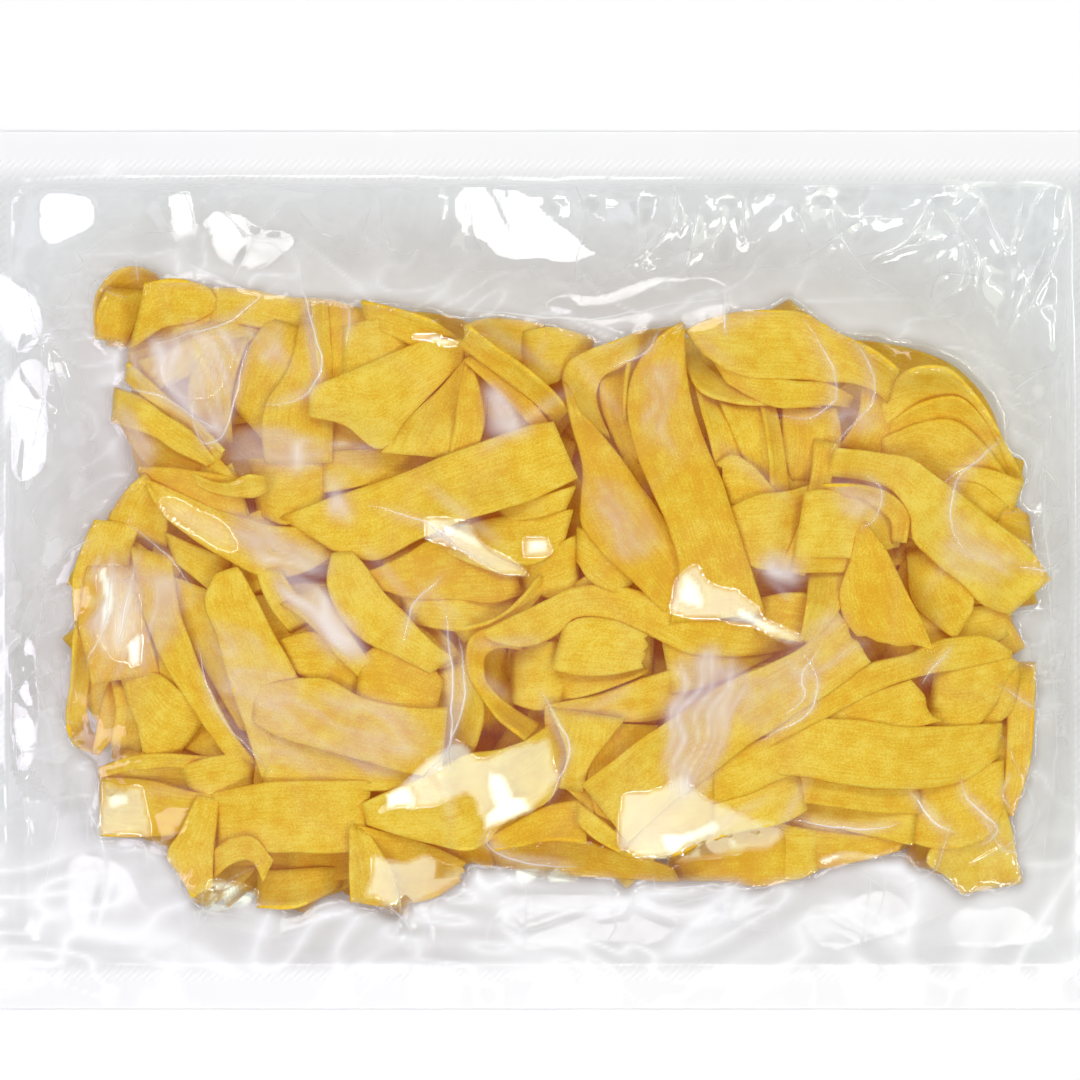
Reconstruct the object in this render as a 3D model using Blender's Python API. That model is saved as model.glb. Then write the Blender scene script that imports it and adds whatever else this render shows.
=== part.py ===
"""Sealed clear pack of four ribbon pasta nests, lying flat with its domed face up.

A top film and a base film are heat sealed together on all four sides round a
heap of four nests of wide egg ribbons. The film clings to the heap, so the
pack is one closed solid: flat base, thin sealed edge, a skirt of film that
climbs from the seal to the heap, and over the heap the ribbons' own relief.
Frame: metres, +Z up, X along the pack's length, origin at the middle of the
base. The constants below are in millimetres.
"""

import bpy
import bmesh
import numpy as np

MM = 0.001

# Film pack
PACK_LENGTH = 254.0
PACK_WIDTH = 192.0
FREE_EDGE = 6.4  # plain film outside the seal band
SEAL_WIDTH = 4.0
EDGE_THICKNESS = 0.6
SEAL_THICKNESS = 0.8
POCKET_CORNER_POWER = 14.0  # how square the pocket's corners are

# Heap inside it
HEAP_LENGTH = 209.0
HEAP_WIDTH = 139.0
HEAP_CORNER_POWER = 3.6
SHOULDER_HEIGHT = 13.0  # film height where it leaves the heap's edge
CROWN_HEIGHT = 11.0  # rise from the shoulder to the middle of the heap
CROWN_POWER = 3.0
SKIRT_POWER = 1.35  # over 1 makes the skirt sag between seal and heap
NEST_DIVIDE_X = 7.0  # the hollow between the left and right nests
NEST_DIVIDE_Y = -5.0  # the hollow between the far and near nests
DIVIDE_WIDTH = 9.0
DIVIDE_DEPTH = 3.0

# Ribbons
RIBBON_WIDTH = 16.0
RIBBON_EDGE_POWER = 4.0  # how sharply a ribbon's relief drops at its sides
GRID_STEP = 3.9

# The main ribbons on top of each nest: how far each stands above the heap's
# general surface, then the points that it runs through, seen from above.
FAR_LEFT_NEST = [
    (5.5, [(-90, 57), (-79, 58), (-69, 51)]),
    (6.0, [(-90, 36), (-79, 31), (-68, 22)]),
    (4.5, [(-66, 51), (-67, 30)]),
    (5.5, [(-51, 56), (-51, 25)]),
    (6.5, [(-41, 32), (-28, 41), (-16, 47)]),
    (4.5, [(-16, 45), (-23, 28)]),
    (4.0, [(-11, 48), (11, 47)]),
    (3.5, [(-4, 42), (8, 22)]),
    (7.5, [(-54, 8), (-23, 17), (5, 27)]),
    (5.0, [(-83, 19), (-72, 9), (-57, 1), (-43, 0)]),
]
FAR_RIGHT_NEST = [
    (6.0, [(9, 42), (14, 26), (22, 2)]),
    (8.0, [(30, 51), (30, 26), (39, -6)]),
    (5.5, [(43, 48), (57, 50), (72, 45)]),
    (3.5, [(43, 40), (66, 38)]),
    (4.5, [(44, 27), (52, 18)]),
    (5.5, [(45, 6), (57, 16)]),
    (4.5, [(58, 30), (64, 18)]),
    (6.0, [(77, 38), (92, 36), (101, 20)]),
    (7.5, [(65, 23), (81, 15), (94, 4), (104, -5)]),
    (4.5, [(58, 10), (78, 14)]),
    (7.0, [(70, 9), (74, -15)]),
    (4.0, [(85, 5), (89, -13)]),
]
NEAR_RIGHT_NEST = [
    (6.5, [(-13, -17), (4, -8), (21, -8), (38, -15), (62, -6)]),
    (4.5, [(4, -19), (21, -17)]),
    (7.5, [(13, -51), (38, -36), (66, -15)]),
    (5.5, [(21, -36), (60, -25), (98, -17)]),
    (6.5, [(55, -38), (77, -40), (98, -37)]),
    (4.5, [(34, -49), (55, -53), (72, -53)]),
    (4.0, [(93, -50), (95, -66)]),
    (4.0, [(102, -17), (103, -47)]),
]
NEAR_LEFT_NEST = [
    (5.0, [(-93, 9), (-96, -15), (-95, -36)]),
    (6.0, [(-81, -2), (-77, -23), (-66, -40)]),
    (6.0, [(-63, -2), (-57, -25)]),
    (7.0, [(-55, -38), (-38, -35), (-21, -33)]),
    (6.0, [(-40, -1), (-23, -18)]),
    (5.0, [(-26, -10), (-9, -9), (2, 3)]),
    (5.0, [(-94, -49), (-73, -49)]),
    (5.0, [(-70, -57), (-39, -55)]),
    (7.0, [(-36, -55), (-18, -50), (0, -47)]),
    (3.5, [(-74, -61), (-66, -68)]),
    (3.5, [(-37, -65), (-20, -64)]),
]
RIBBONS = FAR_LEFT_NEST + FAR_RIGHT_NEST + NEAR_RIGHT_NEST + NEAR_LEFT_NEST


def clear_scene():
    for obj in list(bpy.data.objects):
        bpy.data.objects.remove(obj, do_unlink=True)


def make_material(name, colour, roughness):
    material = bpy.data.materials.new(name)
    material.use_nodes = True
    shader = material.node_tree.nodes["Principled BSDF"]
    shader.inputs["Base Color"].default_value = (*colour, 1.0)
    shader.inputs["Roughness"].default_value = roughness
    shader.inputs["Metallic"].default_value = 0.0
    return material


def stations(half_outer):
    """Grid lines across one side: the film's edge, both sides of the seal, then even steps."""
    seal_outer = half_outer - FREE_EDGE
    seal_inner = seal_outer - SEAL_WIDTH
    inner = np.linspace(-seal_inner, seal_inner, round(2 * seal_inner / GRID_STEP) + 1)
    return np.concatenate(
        [[-half_outer, -seal_outer], inner, [seal_outer, half_outer]]
    )


def superellipse(x, y, half_x, half_y, power):
    """0 at the middle and 1 on the outline."""
    return (np.abs(x / half_x) ** power + np.abs(y / half_y) ** power) ** (1 / power)


def distance_to_route(x, y, route):
    nearest = np.full(x.shape, np.inf)
    for (ax, ay), (bx, by) in zip(route[:-1], route[1:]):
        dx, dy = bx - ax, by - ay
        along = np.clip(
            ((x - ax) * dx + (y - ay) * dy) / (dx * dx + dy * dy), 0.0, 1.0
        )
        nearest = np.minimum(
            nearest, np.hypot(x - ax - along * dx, y - ay - along * dy)
        )
    return nearest


def ribbon_relief(x, y):
    """Each ribbon is a flat-topped band, and where two cross the higher one shows."""
    relief = np.zeros(x.shape)
    for height, route in RIBBONS:
        across = distance_to_route(x, y, route) / (RIBBON_WIDTH / 2)
        band = 1.0 - np.minimum(across / 1.2, 1.0) ** RIBBON_EDGE_POWER
        relief = np.maximum(relief, height * band)
    return relief


def film_height(x, y):
    """Height of the top film above the seal, inside the pocket."""
    half_x = PACK_LENGTH / 2 - FREE_EDGE - SEAL_WIDTH
    half_y = PACK_WIDTH / 2 - FREE_EDGE - SEAL_WIDTH
    in_pocket = np.maximum(
        superellipse(x, y, half_x, half_y, POCKET_CORNER_POWER), 1e-6
    )
    in_heap = np.maximum(
        superellipse(x, y, HEAP_LENGTH / 2, HEAP_WIDTH / 2, HEAP_CORNER_POWER), 1e-6
    )
    # Along a ray from the middle, 1 where the film leaves the heap and 0 at the seal.
    skirt = (1 / in_pocket - 1) / np.maximum(1 / in_pocket - 1 / in_heap, 1e-6)
    skirt = np.where(in_heap > 1.0, np.clip(skirt, 0.0, 1.0), 1.0)
    crown = 1.0 - np.minimum(in_heap, 1.0) ** CROWN_POWER
    divide = np.maximum(
        np.exp(-(((x - NEST_DIVIDE_X) / DIVIDE_WIDTH) ** 2)),
        np.exp(-(((y - NEST_DIVIDE_Y) / DIVIDE_WIDTH) ** 2)),
    )
    return (
        SHOULDER_HEIGHT * skirt**SKIRT_POWER
        + CROWN_HEIGHT * crown
        - DIVIDE_DEPTH * divide * np.sqrt(crown)
        + ribbon_relief(x, y) * np.clip(skirt, 0.0, 1.0) ** 2
    )


def top_surface(x, y):
    """Heights of the whole upper face: free edge, seal band, then the film over the heap."""
    from_x = PACK_LENGTH / 2 - np.abs(x)
    from_y = PACK_WIDTH / 2 - np.abs(y)
    inward = np.minimum(from_x, from_y)
    slack = 0.01
    free_edge = inward < slack
    seal = inward < FREE_EDGE + SEAL_WIDTH + slack
    heights = SEAL_THICKNESS + film_height(x, y)
    heights = np.where(seal, SEAL_THICKNESS, heights)
    return np.where(free_edge, EDGE_THICKNESS, heights)


def build_pack(collection):
    across_x = stations(PACK_LENGTH / 2)
    across_y = stations(PACK_WIDTH / 2)
    bm = bmesh.new()
    bmesh.ops.create_grid(
        bm, x_segments=len(across_x) - 1, y_segments=len(across_y) - 1, size=1.0
    )
    for vertex in bm.verts:
        column = round((vertex.co.x + 1) / 2 * (len(across_x) - 1))
        row = round((vertex.co.y + 1) / 2 * (len(across_y) - 1))
        vertex.co.x = across_x[column]
        vertex.co.y = across_y[row]
    places = np.array([vertex.co[:2] for vertex in bm.verts])
    heights = top_surface(places[:, 0], places[:, 1])
    for vertex, height in zip(bm.verts, heights):
        vertex.co.z = height

    # The film's cut edge drops to the base, which is one flat face.
    border = [edge for edge in bm.edges if edge.is_boundary]
    wall = bmesh.ops.extrude_edge_only(bm, edges=border)["geom"]
    for item in wall:
        if isinstance(item, bmesh.types.BMVert):
            item.co.z = 0.0
    lower = [item for item in wall if isinstance(item, bmesh.types.BMEdge)]
    bmesh.ops.contextual_create(bm, geom=[edge for edge in lower if edge.is_boundary])
    bmesh.ops.scale(bm, vec=(MM, MM, MM), verts=bm.verts)
    bmesh.ops.recalc_face_normals(bm, faces=bm.faces)

    mesh = bpy.data.meshes.new("sealed_pack")
    bm.to_mesh(mesh)
    bm.free()
    mesh.shade_smooth()
    mesh.set_sharp_from_angle(angle=np.radians(50.0))
    pack = bpy.data.objects.new("sealed_pack", mesh)
    pack.data.materials.append(
        make_material("clear film over egg pasta", (0.72, 0.45, 0.10), 0.35)
    )
    collection.objects.link(pack)
    return pack


def main():
    clear_scene()
    collection = bpy.data.collections.new("sealed_pasta_pack")
    bpy.context.scene.collection.children.link(collection)
    build_pack(collection)


main()
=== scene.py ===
# A sealed clear bag of four ribbon pasta nests, lying flat on a pale table.
# Lengths are in millimetres in the part's own frame until a mesh is made.
import math

import bpy
import numpy as np
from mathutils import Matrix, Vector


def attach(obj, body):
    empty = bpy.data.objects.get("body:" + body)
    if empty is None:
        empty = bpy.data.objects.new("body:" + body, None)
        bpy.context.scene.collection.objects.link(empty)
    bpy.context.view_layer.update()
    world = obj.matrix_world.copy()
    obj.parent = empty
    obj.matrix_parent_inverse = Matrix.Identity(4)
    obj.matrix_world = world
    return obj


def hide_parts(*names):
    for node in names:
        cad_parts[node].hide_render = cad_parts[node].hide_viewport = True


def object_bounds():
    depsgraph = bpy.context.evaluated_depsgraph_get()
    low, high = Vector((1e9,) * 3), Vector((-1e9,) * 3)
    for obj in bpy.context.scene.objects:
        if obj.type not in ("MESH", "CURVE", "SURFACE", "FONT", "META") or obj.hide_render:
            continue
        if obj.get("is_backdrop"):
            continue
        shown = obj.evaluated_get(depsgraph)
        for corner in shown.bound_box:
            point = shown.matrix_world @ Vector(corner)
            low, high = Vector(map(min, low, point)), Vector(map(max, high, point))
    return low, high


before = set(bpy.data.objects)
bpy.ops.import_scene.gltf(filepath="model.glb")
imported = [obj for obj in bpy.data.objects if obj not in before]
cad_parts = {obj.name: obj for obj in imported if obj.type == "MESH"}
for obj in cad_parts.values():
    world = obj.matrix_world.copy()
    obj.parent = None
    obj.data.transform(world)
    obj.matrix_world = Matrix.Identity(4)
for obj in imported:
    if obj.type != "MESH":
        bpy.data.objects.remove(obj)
boundsBefore = [list(map(float, corner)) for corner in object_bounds()]

mm = 0.001

camera = {
    "height": 750.0,
    "aside": 0.0,
    "away": 6.6,
    "lens": 114.0,
    "sensor": 36.0,
}

# Panels round the camera, each mirrored by the folds that face it: bearing is the side it
# stands on (0 right, 90 far), lean its angle from overhead, both in degrees.
lampDistance = 850.0
lamps = {
    "far window": dict(bearing=104, lean=28, size=(0.30, 0.20), radiance=6.8, colour="#FFFFFF"),
    "left window": dict(bearing=192, lean=31, size=(0.24, 0.30), radiance=6.4, colour="#F3EEFF"),
    "back sheet": dict(bearing=150, lean=50, size=(0.50, 0.40), radiance=1.1, colour="#F4F0FF"),
    "pale sheet": dict(bearing=40, lean=46, size=(0.42, 0.42), radiance=1.6, colour="#F4FFE4"),
    "near strip": dict(bearing=276, lean=34, size=(0.60, 0.16), radiance=6.2, colour="#FFFFFF"),
    "right strip": dict(bearing=352, lean=37, size=(0.55, 0.05), radiance=11.5, colour="#FFFFFF"),
    "small lamp 1": dict(bearing=45, lean=40, size=(0.16, 0.03), radiance=28.0, colour="#FFFFFF"),
    "small lamp 2": dict(bearing=232, lean=48, size=(0.16, 0.03), radiance=28.0, colour="#FFFFFF"),
    "small lamp 3": dict(bearing=315, lean=26, size=(0.12, 0.02), radiance=28.0, colour="#FFFFFF"),
}
for box in lamps.values():
    bearing, lean = math.radians(box["bearing"]), math.radians(box["lean"])
    reach = lampDistance * math.sin(lean)
    box["place"] = np.array([reach * math.cos(bearing), reach * math.sin(bearing),
                             lampDistance * math.cos(lean)])

pack = {
    "halfLength": 127.0,
    "halfWidth": 96.0,
    "freeEdge": 6.4,  # plain film outside the seal band
    "sealBand": 4.0,
    "sealHeight": 0.7,
    "knurlPitch": 1.9,
}
pocketIn = pack["freeEdge"] + pack["sealBand"]  # from the bag's edge to its pocket

# Shared by every ribbon.
ribbon = {
    "thickness": 0.95,
    "alongStep": 1.5,
    "acrossPoints": 9,
    "cup": 0.45,  # how far the middle sinks below the two edges
    "warp": 0.5,  # uneven drying
    "twist": 1.6,  # how far the two edges rock up and down along the way
    "edgeWaver": 0.22,
    "waverLength": 6.5,
    "warpLength": 9.0,
    "twistLength": 16.0,
    "gap": 0.05,  # to what it lies on
    "rim": 0.8,  # how far a rounded edge stands out, as a share of half the thickness
    "jag": 1.6,  # depth of a broken end
    "stiffness": 40,  # passes that let a ribbon bridge the hollows below it
    "tuck": 2.6,  # how far an end dips into the heap, unless it is cut or broken
    "tuckLength": 8.0,
}

heap = {
    "halfLength": 104.5,
    "halfWidth": 69.5,
    "cornerPower": 3.6,
    "shoulder": 13.0,
    "crown": 12.5,
    "crownPower": 3.0,
    "hardestPress": 0.3,
    "softestPress": 1.9,
    "pressBlur": 60,  # passes that even out the heap before it is pressed
    "pressSoftness": 40,  # and the press itself
    "fullness": 0.99,  # of the bag's own shape, after the press
    "crest": 26.5,  # what stands higher than this is squeezed into the last few millimetres
    "crestRoom": 5.0,
    "lowest": 0.4,  # of a ribbon's underside
    "gridStep": 1.0,
}

# Ribbons of each nest from the lowest to the highest: the edges a and b run the same way,
# and tilt is how far a stands above b.
farLeftRibbons = [
    dict(tilt=0, a=[(-90, 50), (-80, 55.5), (-70, 57), (-60, 57)],
         b=[(-86, 40), (-76, 44), (-66, 48), (-58, 48)]),
    dict(tilt=0, a=[(-48, 37), (-40, 35), (-32, 31)], b=[(-48, 24), (-40, 23), (-32, 22)]),
    dict(tilt=4, a=[(-95.8, 50), (-95.8, 60), (-92, 64.5), (-87, 65.5), (-83, 64)],
         b=[(-90, 50), (-89.5, 57), (-87, 60), (-85, 61), (-82, 60)]),
    dict(tilt=-1, a=[(-95, 50), (-95.3, 55), (-93.5, 61)], b=[(-89.5, 48.5), (-87.5, 54), (-85, 60.5)]),
    dict(tilt=0, a=[(-89, 47), (-80, 49), (-72, 52.5), (-64, 56)],
         b=[(-88, 38), (-80, 40), (-70, 45), (-58, 51)]),
    dict(tilt=1, a=[(-72, 60.5), (-64, 60.5), (-56, 59), (-46, 58)],
         b=[(-71, 53), (-64, 53), (-56, 51.5), (-47, 50)]),
    dict(tilt=2, a=[(-84.8, 61.5), (-80, 62.3), (-76, 62.2), (-71, 60.5), (-69.6, 58)],
         b=[(-88.2, 47.8), (-84.5, 50), (-81, 52.3), (-74, 53.6), (-69.6, 56)]),
    dict(tilt=2, a=[(-86, 45), (-80, 46.5), (-72, 51), (-66, 54)],
         b=[(-84, 38), (-79, 41), (-69, 47.5), (-60, 50)]),
    dict(tilt=-2, a=[(-58, 54), (-63, 46), (-66, 36)], b=[(-47, 51), (-55, 40), (-59, 28)]),
    dict(tilt=-1, a=[(-72, 48), (-75, 36), (-72, 27.5)], b=[(-62.5, 50), (-66, 37), (-66, 27.5)]),
    dict(tilt=-1, a=[(-91, 33), (-85, 30), (-77, 25.5), (-71, 22.3)],
         b=[(-88.5, 28), (-84, 22), (-81, 18.5), (-75, 20.6)]),
    dict(tilt=2.5, a=[(-88.3, 44.5), (-84, 41), (-80, 37.5), (-75, 33.5), (-67, 25.5)],
         b=[(-89, 41), (-85, 37.5), (-80.5, 34), (-75.5, 30), (-68.5, 23)]),
    dict(tilt=1, a=[(-91.5, 39), (-85, 36.5), (-80, 33), (-75, 30), (-69, 23.3)],
         b=[(-92, 32), (-85, 30), (-77, 25.5), (-71, 22.3)]),
    dict(tilt=1, a=[(-86, 22), (-76, 21.5), (-64, 19.5)], b=[(-84, 15), (-74, 12.5), (-62, 10)]),
    dict(tilt=2, a=[(-84, 20.5), (-89, 16), (-92.5, 10.5)], b=[(-79, 15), (-80, 10), (-80, 5)]),
    dict(tilt=2, a=[(-80, 8), (-73, 5), (-66, 2)], b=[(-78, 2), (-74, -1), (-70, -4)]),
    dict(tilt=0, a=[(-62, 24), (-52, 24), (-45, 23.3)], b=[(-60, 12), (-54, 10), (-46, 15)]),
    dict(tilt=1, a=[(-46, 25), (-30, 26), (-18, 26)], b=[(-46, 17), (-30, 19.5), (-18, 21)]),
    dict(tilt=-1, a=[(-51, 53), (-54, 42), (-58, 36), (-58.3, 23)], b=[(-46, 53), (-44.5, 42), (-44.3, 23)]),
    dict(tilt=2.5, a=[(-74.5, 21), (-70, 19), (-65.5, 18.6), (-62, 20.2), (-58, 19.8)],
         b=[(-74.5, 19.5), (-70, 17), (-65, 16), (-60, 16), (-57.8, 17)]),
    dict(tilt=3, a=[(-49, 58), (-48, 50), (-47, 42), (-46, 34)],
         b=[(-45, 58), (-45, 50), (-44.3, 42), (-44, 34)]),
    dict(tilt=-2, a=[(-45, 58), (-44.5, 50), (-44, 42), (-44, 36)],
         b=[(-31, 54), (-35, 50), (-41, 44), (-43, 36)]),
    dict(tilt=-1, lift=0.6, a=[(-42, 52), (-32, 54), (-22, 51)], b=[(-42, 40), (-33, 39), (-22, 40)]),
    dict(tilt=2, a=[(-38, 57.5), (-30, 55.5), (-23, 53), (-15, 48)],
         b=[(-37, 52), (-29, 49), (-23, 46), (-15, 43)]),
    dict(tilt=1, a=[(-49, 38.5), (-42, 41.5), (-36, 44), (-25, 48.5), (-15, 49)],
         b=[(-49, 33), (-42, 31.5), (-34, 26), (-26, 35), (-16.5, 45)]),
    dict(tilt=-2, a=[(-12, 44), (-11, 36), (-11, 29)], b=[(-3, 41), (0, 34), (0, 29)]),
    dict(tilt=-3, a=[(-16, 45), (-22, 38), (-28, 32), (-33.5, 25)],
         b=[(-15.5, 45), (-17, 38), (-18, 31), (-19, 24)]),
    dict(tilt=3, a=[(-15.5, 45), (-17, 38), (-18, 31), (-19, 24)],
         b=[(-15, 45), (-13, 38), (-12, 32), (-13.5, 25)]),
    dict(tilt=0, a=[(-16, 52), (-12.5, 53.5), (-6, 53.5), (1, 52.5)],
         b=[(-16, 46), (-9, 46), (-3.5, 45), (2, 44)]),
    dict(tilt=1, a=[(-3.5, 51), (4, 51.5), (11.5, 49.5)], b=[(-4, 43), (0, 40), (10, 44)]),
    dict(tilt=-3.5, a=[(-13, 47), (-6, 40), (0, 34), (2, 31)],
         b=[(-16, 45), (-8.5, 37.5), (-2.5, 31.5), (-1, 29)]),
    dict(tilt=4.5, a=[(-15, 51.5), (-6, 45), (3, 37.5), (6, 34)],
         b=[(-17, 48), (-8, 41.5), (0, 35), (3.5, 31.5)]),
    dict(tilt=1, a=[(-9, 14.5), (0.5, 16), (7.5, 18)], b=[(-8, 11), (-4, 11.3), (1, 12), (5.5, 13.3)]),
    dict(tilt=-2.5, a=[(-84, 19.5), (-78, 17), (-72, 14), (-66, 12), (-58, 9.5), (-48, 9), (-42, 8)],
         b=[(-83.5, 18), (-81, 13), (-75, 8), (-66, 2.5), (-58, -1.2), (-50, 0), (-44, 3)]),
    dict(tilt=0.6, lift=0.6,
         a=[(-55, 11.3), (-47, 14.5), (-38, 17.5),
            (-30, 20.3), (-21, 23.8), (-11, 27.3), (-3, 30.2), (3, 31.5)],
         b=[(-51, 9), (-47, 6.5), (-42, 3.6), (-35, 2.6),
            (-26, 7), (-18, 10.2), (-8, 13.5), (0.5, 16.3), (8, 19.8)]),
]

middleRibbons = [
    dict(tilt=-1, a=[(-30, -4.5), (-18, -5), (-5, -5)], b=[(-28, -11), (-18, -12.5), (-6, -12)]),
    dict(tilt=1, a=[(-45, -3), (-34, 0.5), (-28, 3.5), (-24, 6), (-17, 8.5), (-8, 9)],
         b=[(-41, -7), (-34, -4), (-28, -5.5), (-18, -5.8), (-10, -6.5), (-4, -5)]),
    dict(tilt=1, a=[(-4, 1), (3, 5), (8, 7.5)], b=[(-3, -4), (3, -5.5), (8, -4)]),
    dict(tilt=-1, a=[(-20, 8), (-15, 9), (-8, 6), (-2, 2)], b=[(-20, 4), (-15, 2), (-9, 0), (-3, -0.6)]),
    dict(tilt=1, a=[(-17, 9.5), (-10, 11), (-4, 12), (2, 12.5), (7, 13)],
         b=[(-15, 8.3), (-12, 5.5), (-8, 3), (-1, 1.8), (2, 3.5), (5, 6)]),
    dict(tilt=2.5, a=[(0, -1), (-3.5, -5.5), (-7, -8.5), (-12, -11), (-18, -12.5)],
         b=[(1.5, -3), (-1, -6.5), (-4, -9.8), (-10, -12.7), (-16, -15)]),
]

farRightRibbons = [
    dict(tilt=1, a=[(8, 9), (13, 7), (22, 0)], b=[(8, 2), (10, -1), (17, -5)]),
    dict(tilt=0, a=[(33, 40), (36, 28), (38, 20)], b=[(40, 38), (43, 28), (45, 20)]),
    dict(tilt=1, a=[(52, 36), (51.7, 27), (54, 19)], b=[(63, 35), (64, 28), (61, 18)]),
    dict(tilt=2, a=[(69, 41), (68, 33), (64, 26)], b=[(77, 40), (76, 31), (73, 23)]),
    dict(tilt=-1.5, a=[(38.5, 36), (43, 25), (48.5, 16)], b=[(46.5, 36), (48.5, 29), (51, 17)]),
    dict(tilt=3, a=[(47, 36.5), (48, 28), (49.5, 16)], b=[(50, 36.5), (51.5, 28), (53, 16)]),
    dict(tilt=1, a=[(74, 40.5), (80, 43), (86, 42.7), (92.5, 37.5), (98, 30), (104.5, 19.5)],
         b=[(72, 31), (79, 33), (85, 32), (90, 28), (95, 22), (99, 16)]),
    dict(tilt=2, a=[(75, 32), (82, 36), (89, 37), (94, 33), (101, 22)],
         b=[(73, 26), (80, 29), (87, 28), (93, 24), (98, 17)]),
    dict(tilt=2, a=[(73, 28), (80, 31), (88, 32), (95, 27), (101.5, 19)],
         b=[(73, 22), (80, 23), (86, 19.5), (93, 17), (100, 13)]),
    dict(tilt=0.5, a=[(97, 14), (101, 14), (105.5, 12)], b=[(97, 6), (102, 4.5), (107, 2)]),
    dict(tilt=1, a=[(86, 22), (95, 21.8), (104, 19)], b=[(88, 17), (94, 16), (102, 13)]),
    dict(tilt=1, a=[(87, 19), (93, 18.5), (101, 14)], b=[(86, 14), (91, 12), (97, 9)]),
    dict(tilt=-2, a=[(14, 47), (13, 38), (15, 30), (18, 23)], b=[(20.5, 48), (19.5, 38), (19, 31), (21, 23)]),
    dict(tilt=3, a=[(19.5, 48), (18, 40), (18, 32)], b=[(22.5, 48), (21, 40), (21, 32)]),
    dict(tilt=3, a=[(31, 50), (31.5, 44), (34, 38.5), (40, 36), (50, 35.5), (60, 35)],
         b=[(34, 51), (35, 45), (38, 41.5), (44, 40.5), (52, 40), (62, 39)]),
    dict(tilt=2, a=[(37, 45), (44, 41.5), (52, 40.5), (60, 39.8), (67, 37)],
         b=[(40, 40), (46, 36.5), (50, 35), (56, 35), (62, 35.5), (66, 35)]),
    dict(tilt=1.5, a=[(31, 51), (36, 53.5), (42, 55), (50, 55.3), (57, 54.5), (63, 51), (70, 47), (76, 42.5)],
         b=[(35, 46), (38, 44), (44, 41.5), (52, 41), (60, 40.5), (67, 40), (72, 38), (74, 36)]),
    dict(tilt=-1, ends="broken start", a=[(37.5, 22.5), (41, 24.5), (44, 23), (50, 17)],
         b=[(40, 13.5), (42, 13), (45, 13), (50, 12)]),
    dict(tilt=1, a=[(39, 12.8), (47, 16), (52, 16.5), (59, 18.5)],
         b=[(41, 4), (46, 0.8), (51, 0.8), (57, 3)]),
    dict(tilt=-2, a=[(58.5, 28), (57.5, 18), (55, 9), (51, 0)], b=[(63.5, 27), (61, 17), (59, 9), (56, -1)]),
    dict(tilt=-3, a=[(46, -6), (52, -5), (58, -5)], b=[(46, -13), (52, -14), (57, -15)]),
    dict(tilt=1, a=[(58, 3), (57, -5), (55.5, -14.5)], b=[(66, 3), (64.5, -6), (57.8, -15.8)]),
    dict(tilt=1, a=[(54, 4), (61, 4), (68, 4.3)], b=[(53, 0), (61, 0), (68, 0)]),
    dict(tilt=2, a=[(56, 16.5), (63, 17.3), (70, 16.4), (76, 14)],
         b=[(54, 3), (62, 3), (69, 3.4), (77, 5.5)]),
    dict(tilt=4, a=[(60, 18.2), (68, 18.2), (75, 16), (78.8, 12), (78, 6)],
         b=[(63, 16.5), (68, 15.6), (72.5, 13.4), (75, 11), (75.6, 6)]),
    dict(tilt=1, a=[(90, 5), (93, -3), (92.5, -9)], b=[(79, 4), (80, -6), (89, -14.5)]),
    dict(tilt=1.5, ends="broken end", a=[(68, 10.8), (66.5, 3), (64, -5.5), (65, -10), (68, -14.5)],
         b=[(69, 10.8), (73, 5), (77, -3), (80, -9), (83.5, -17.8)]),
    dict(tilt=0.6,
         a=[(62.5, 26), (73, 24.8), (78, 24), (82, 21.5), (88, 17.5), (96, 11.5), (105, 4.5), (110, -2)],
         b=[(61, 20.5), (70, 19.3), (75, 17.5), (79, 12),
            (79.5, 7), (84, 2.5), (90, -2), (95, -7), (101, -9.5)]),
    dict(tilt=5,
         a=[(11, 30.5), (6.4, 36), (5.1, 40), (6, 43.9), (10.6, 46.9), (17, 49.2), (24.8, 52), (30, 53.2)],
         b=[(15, 28), (12.5, 34), (11.8, 38.5), (13, 41.2), (17, 43.5), (21, 46), (25, 49), (29, 51.5)]),
    dict(tilt=0.5, a=[(5, 40), (7, 31), (9.2, 22), (8.9, 15.5), (9, 10.5), (13, 4.5), (20, -2), (27, -9)],
         b=[(6.5, 38.5), (8.5, 33.5), (11.8, 30), (16, 25),
            (21, 18.4), (25.5, 12), (29.5, 6), (33, -1), (37, -6)]),
]

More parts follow.
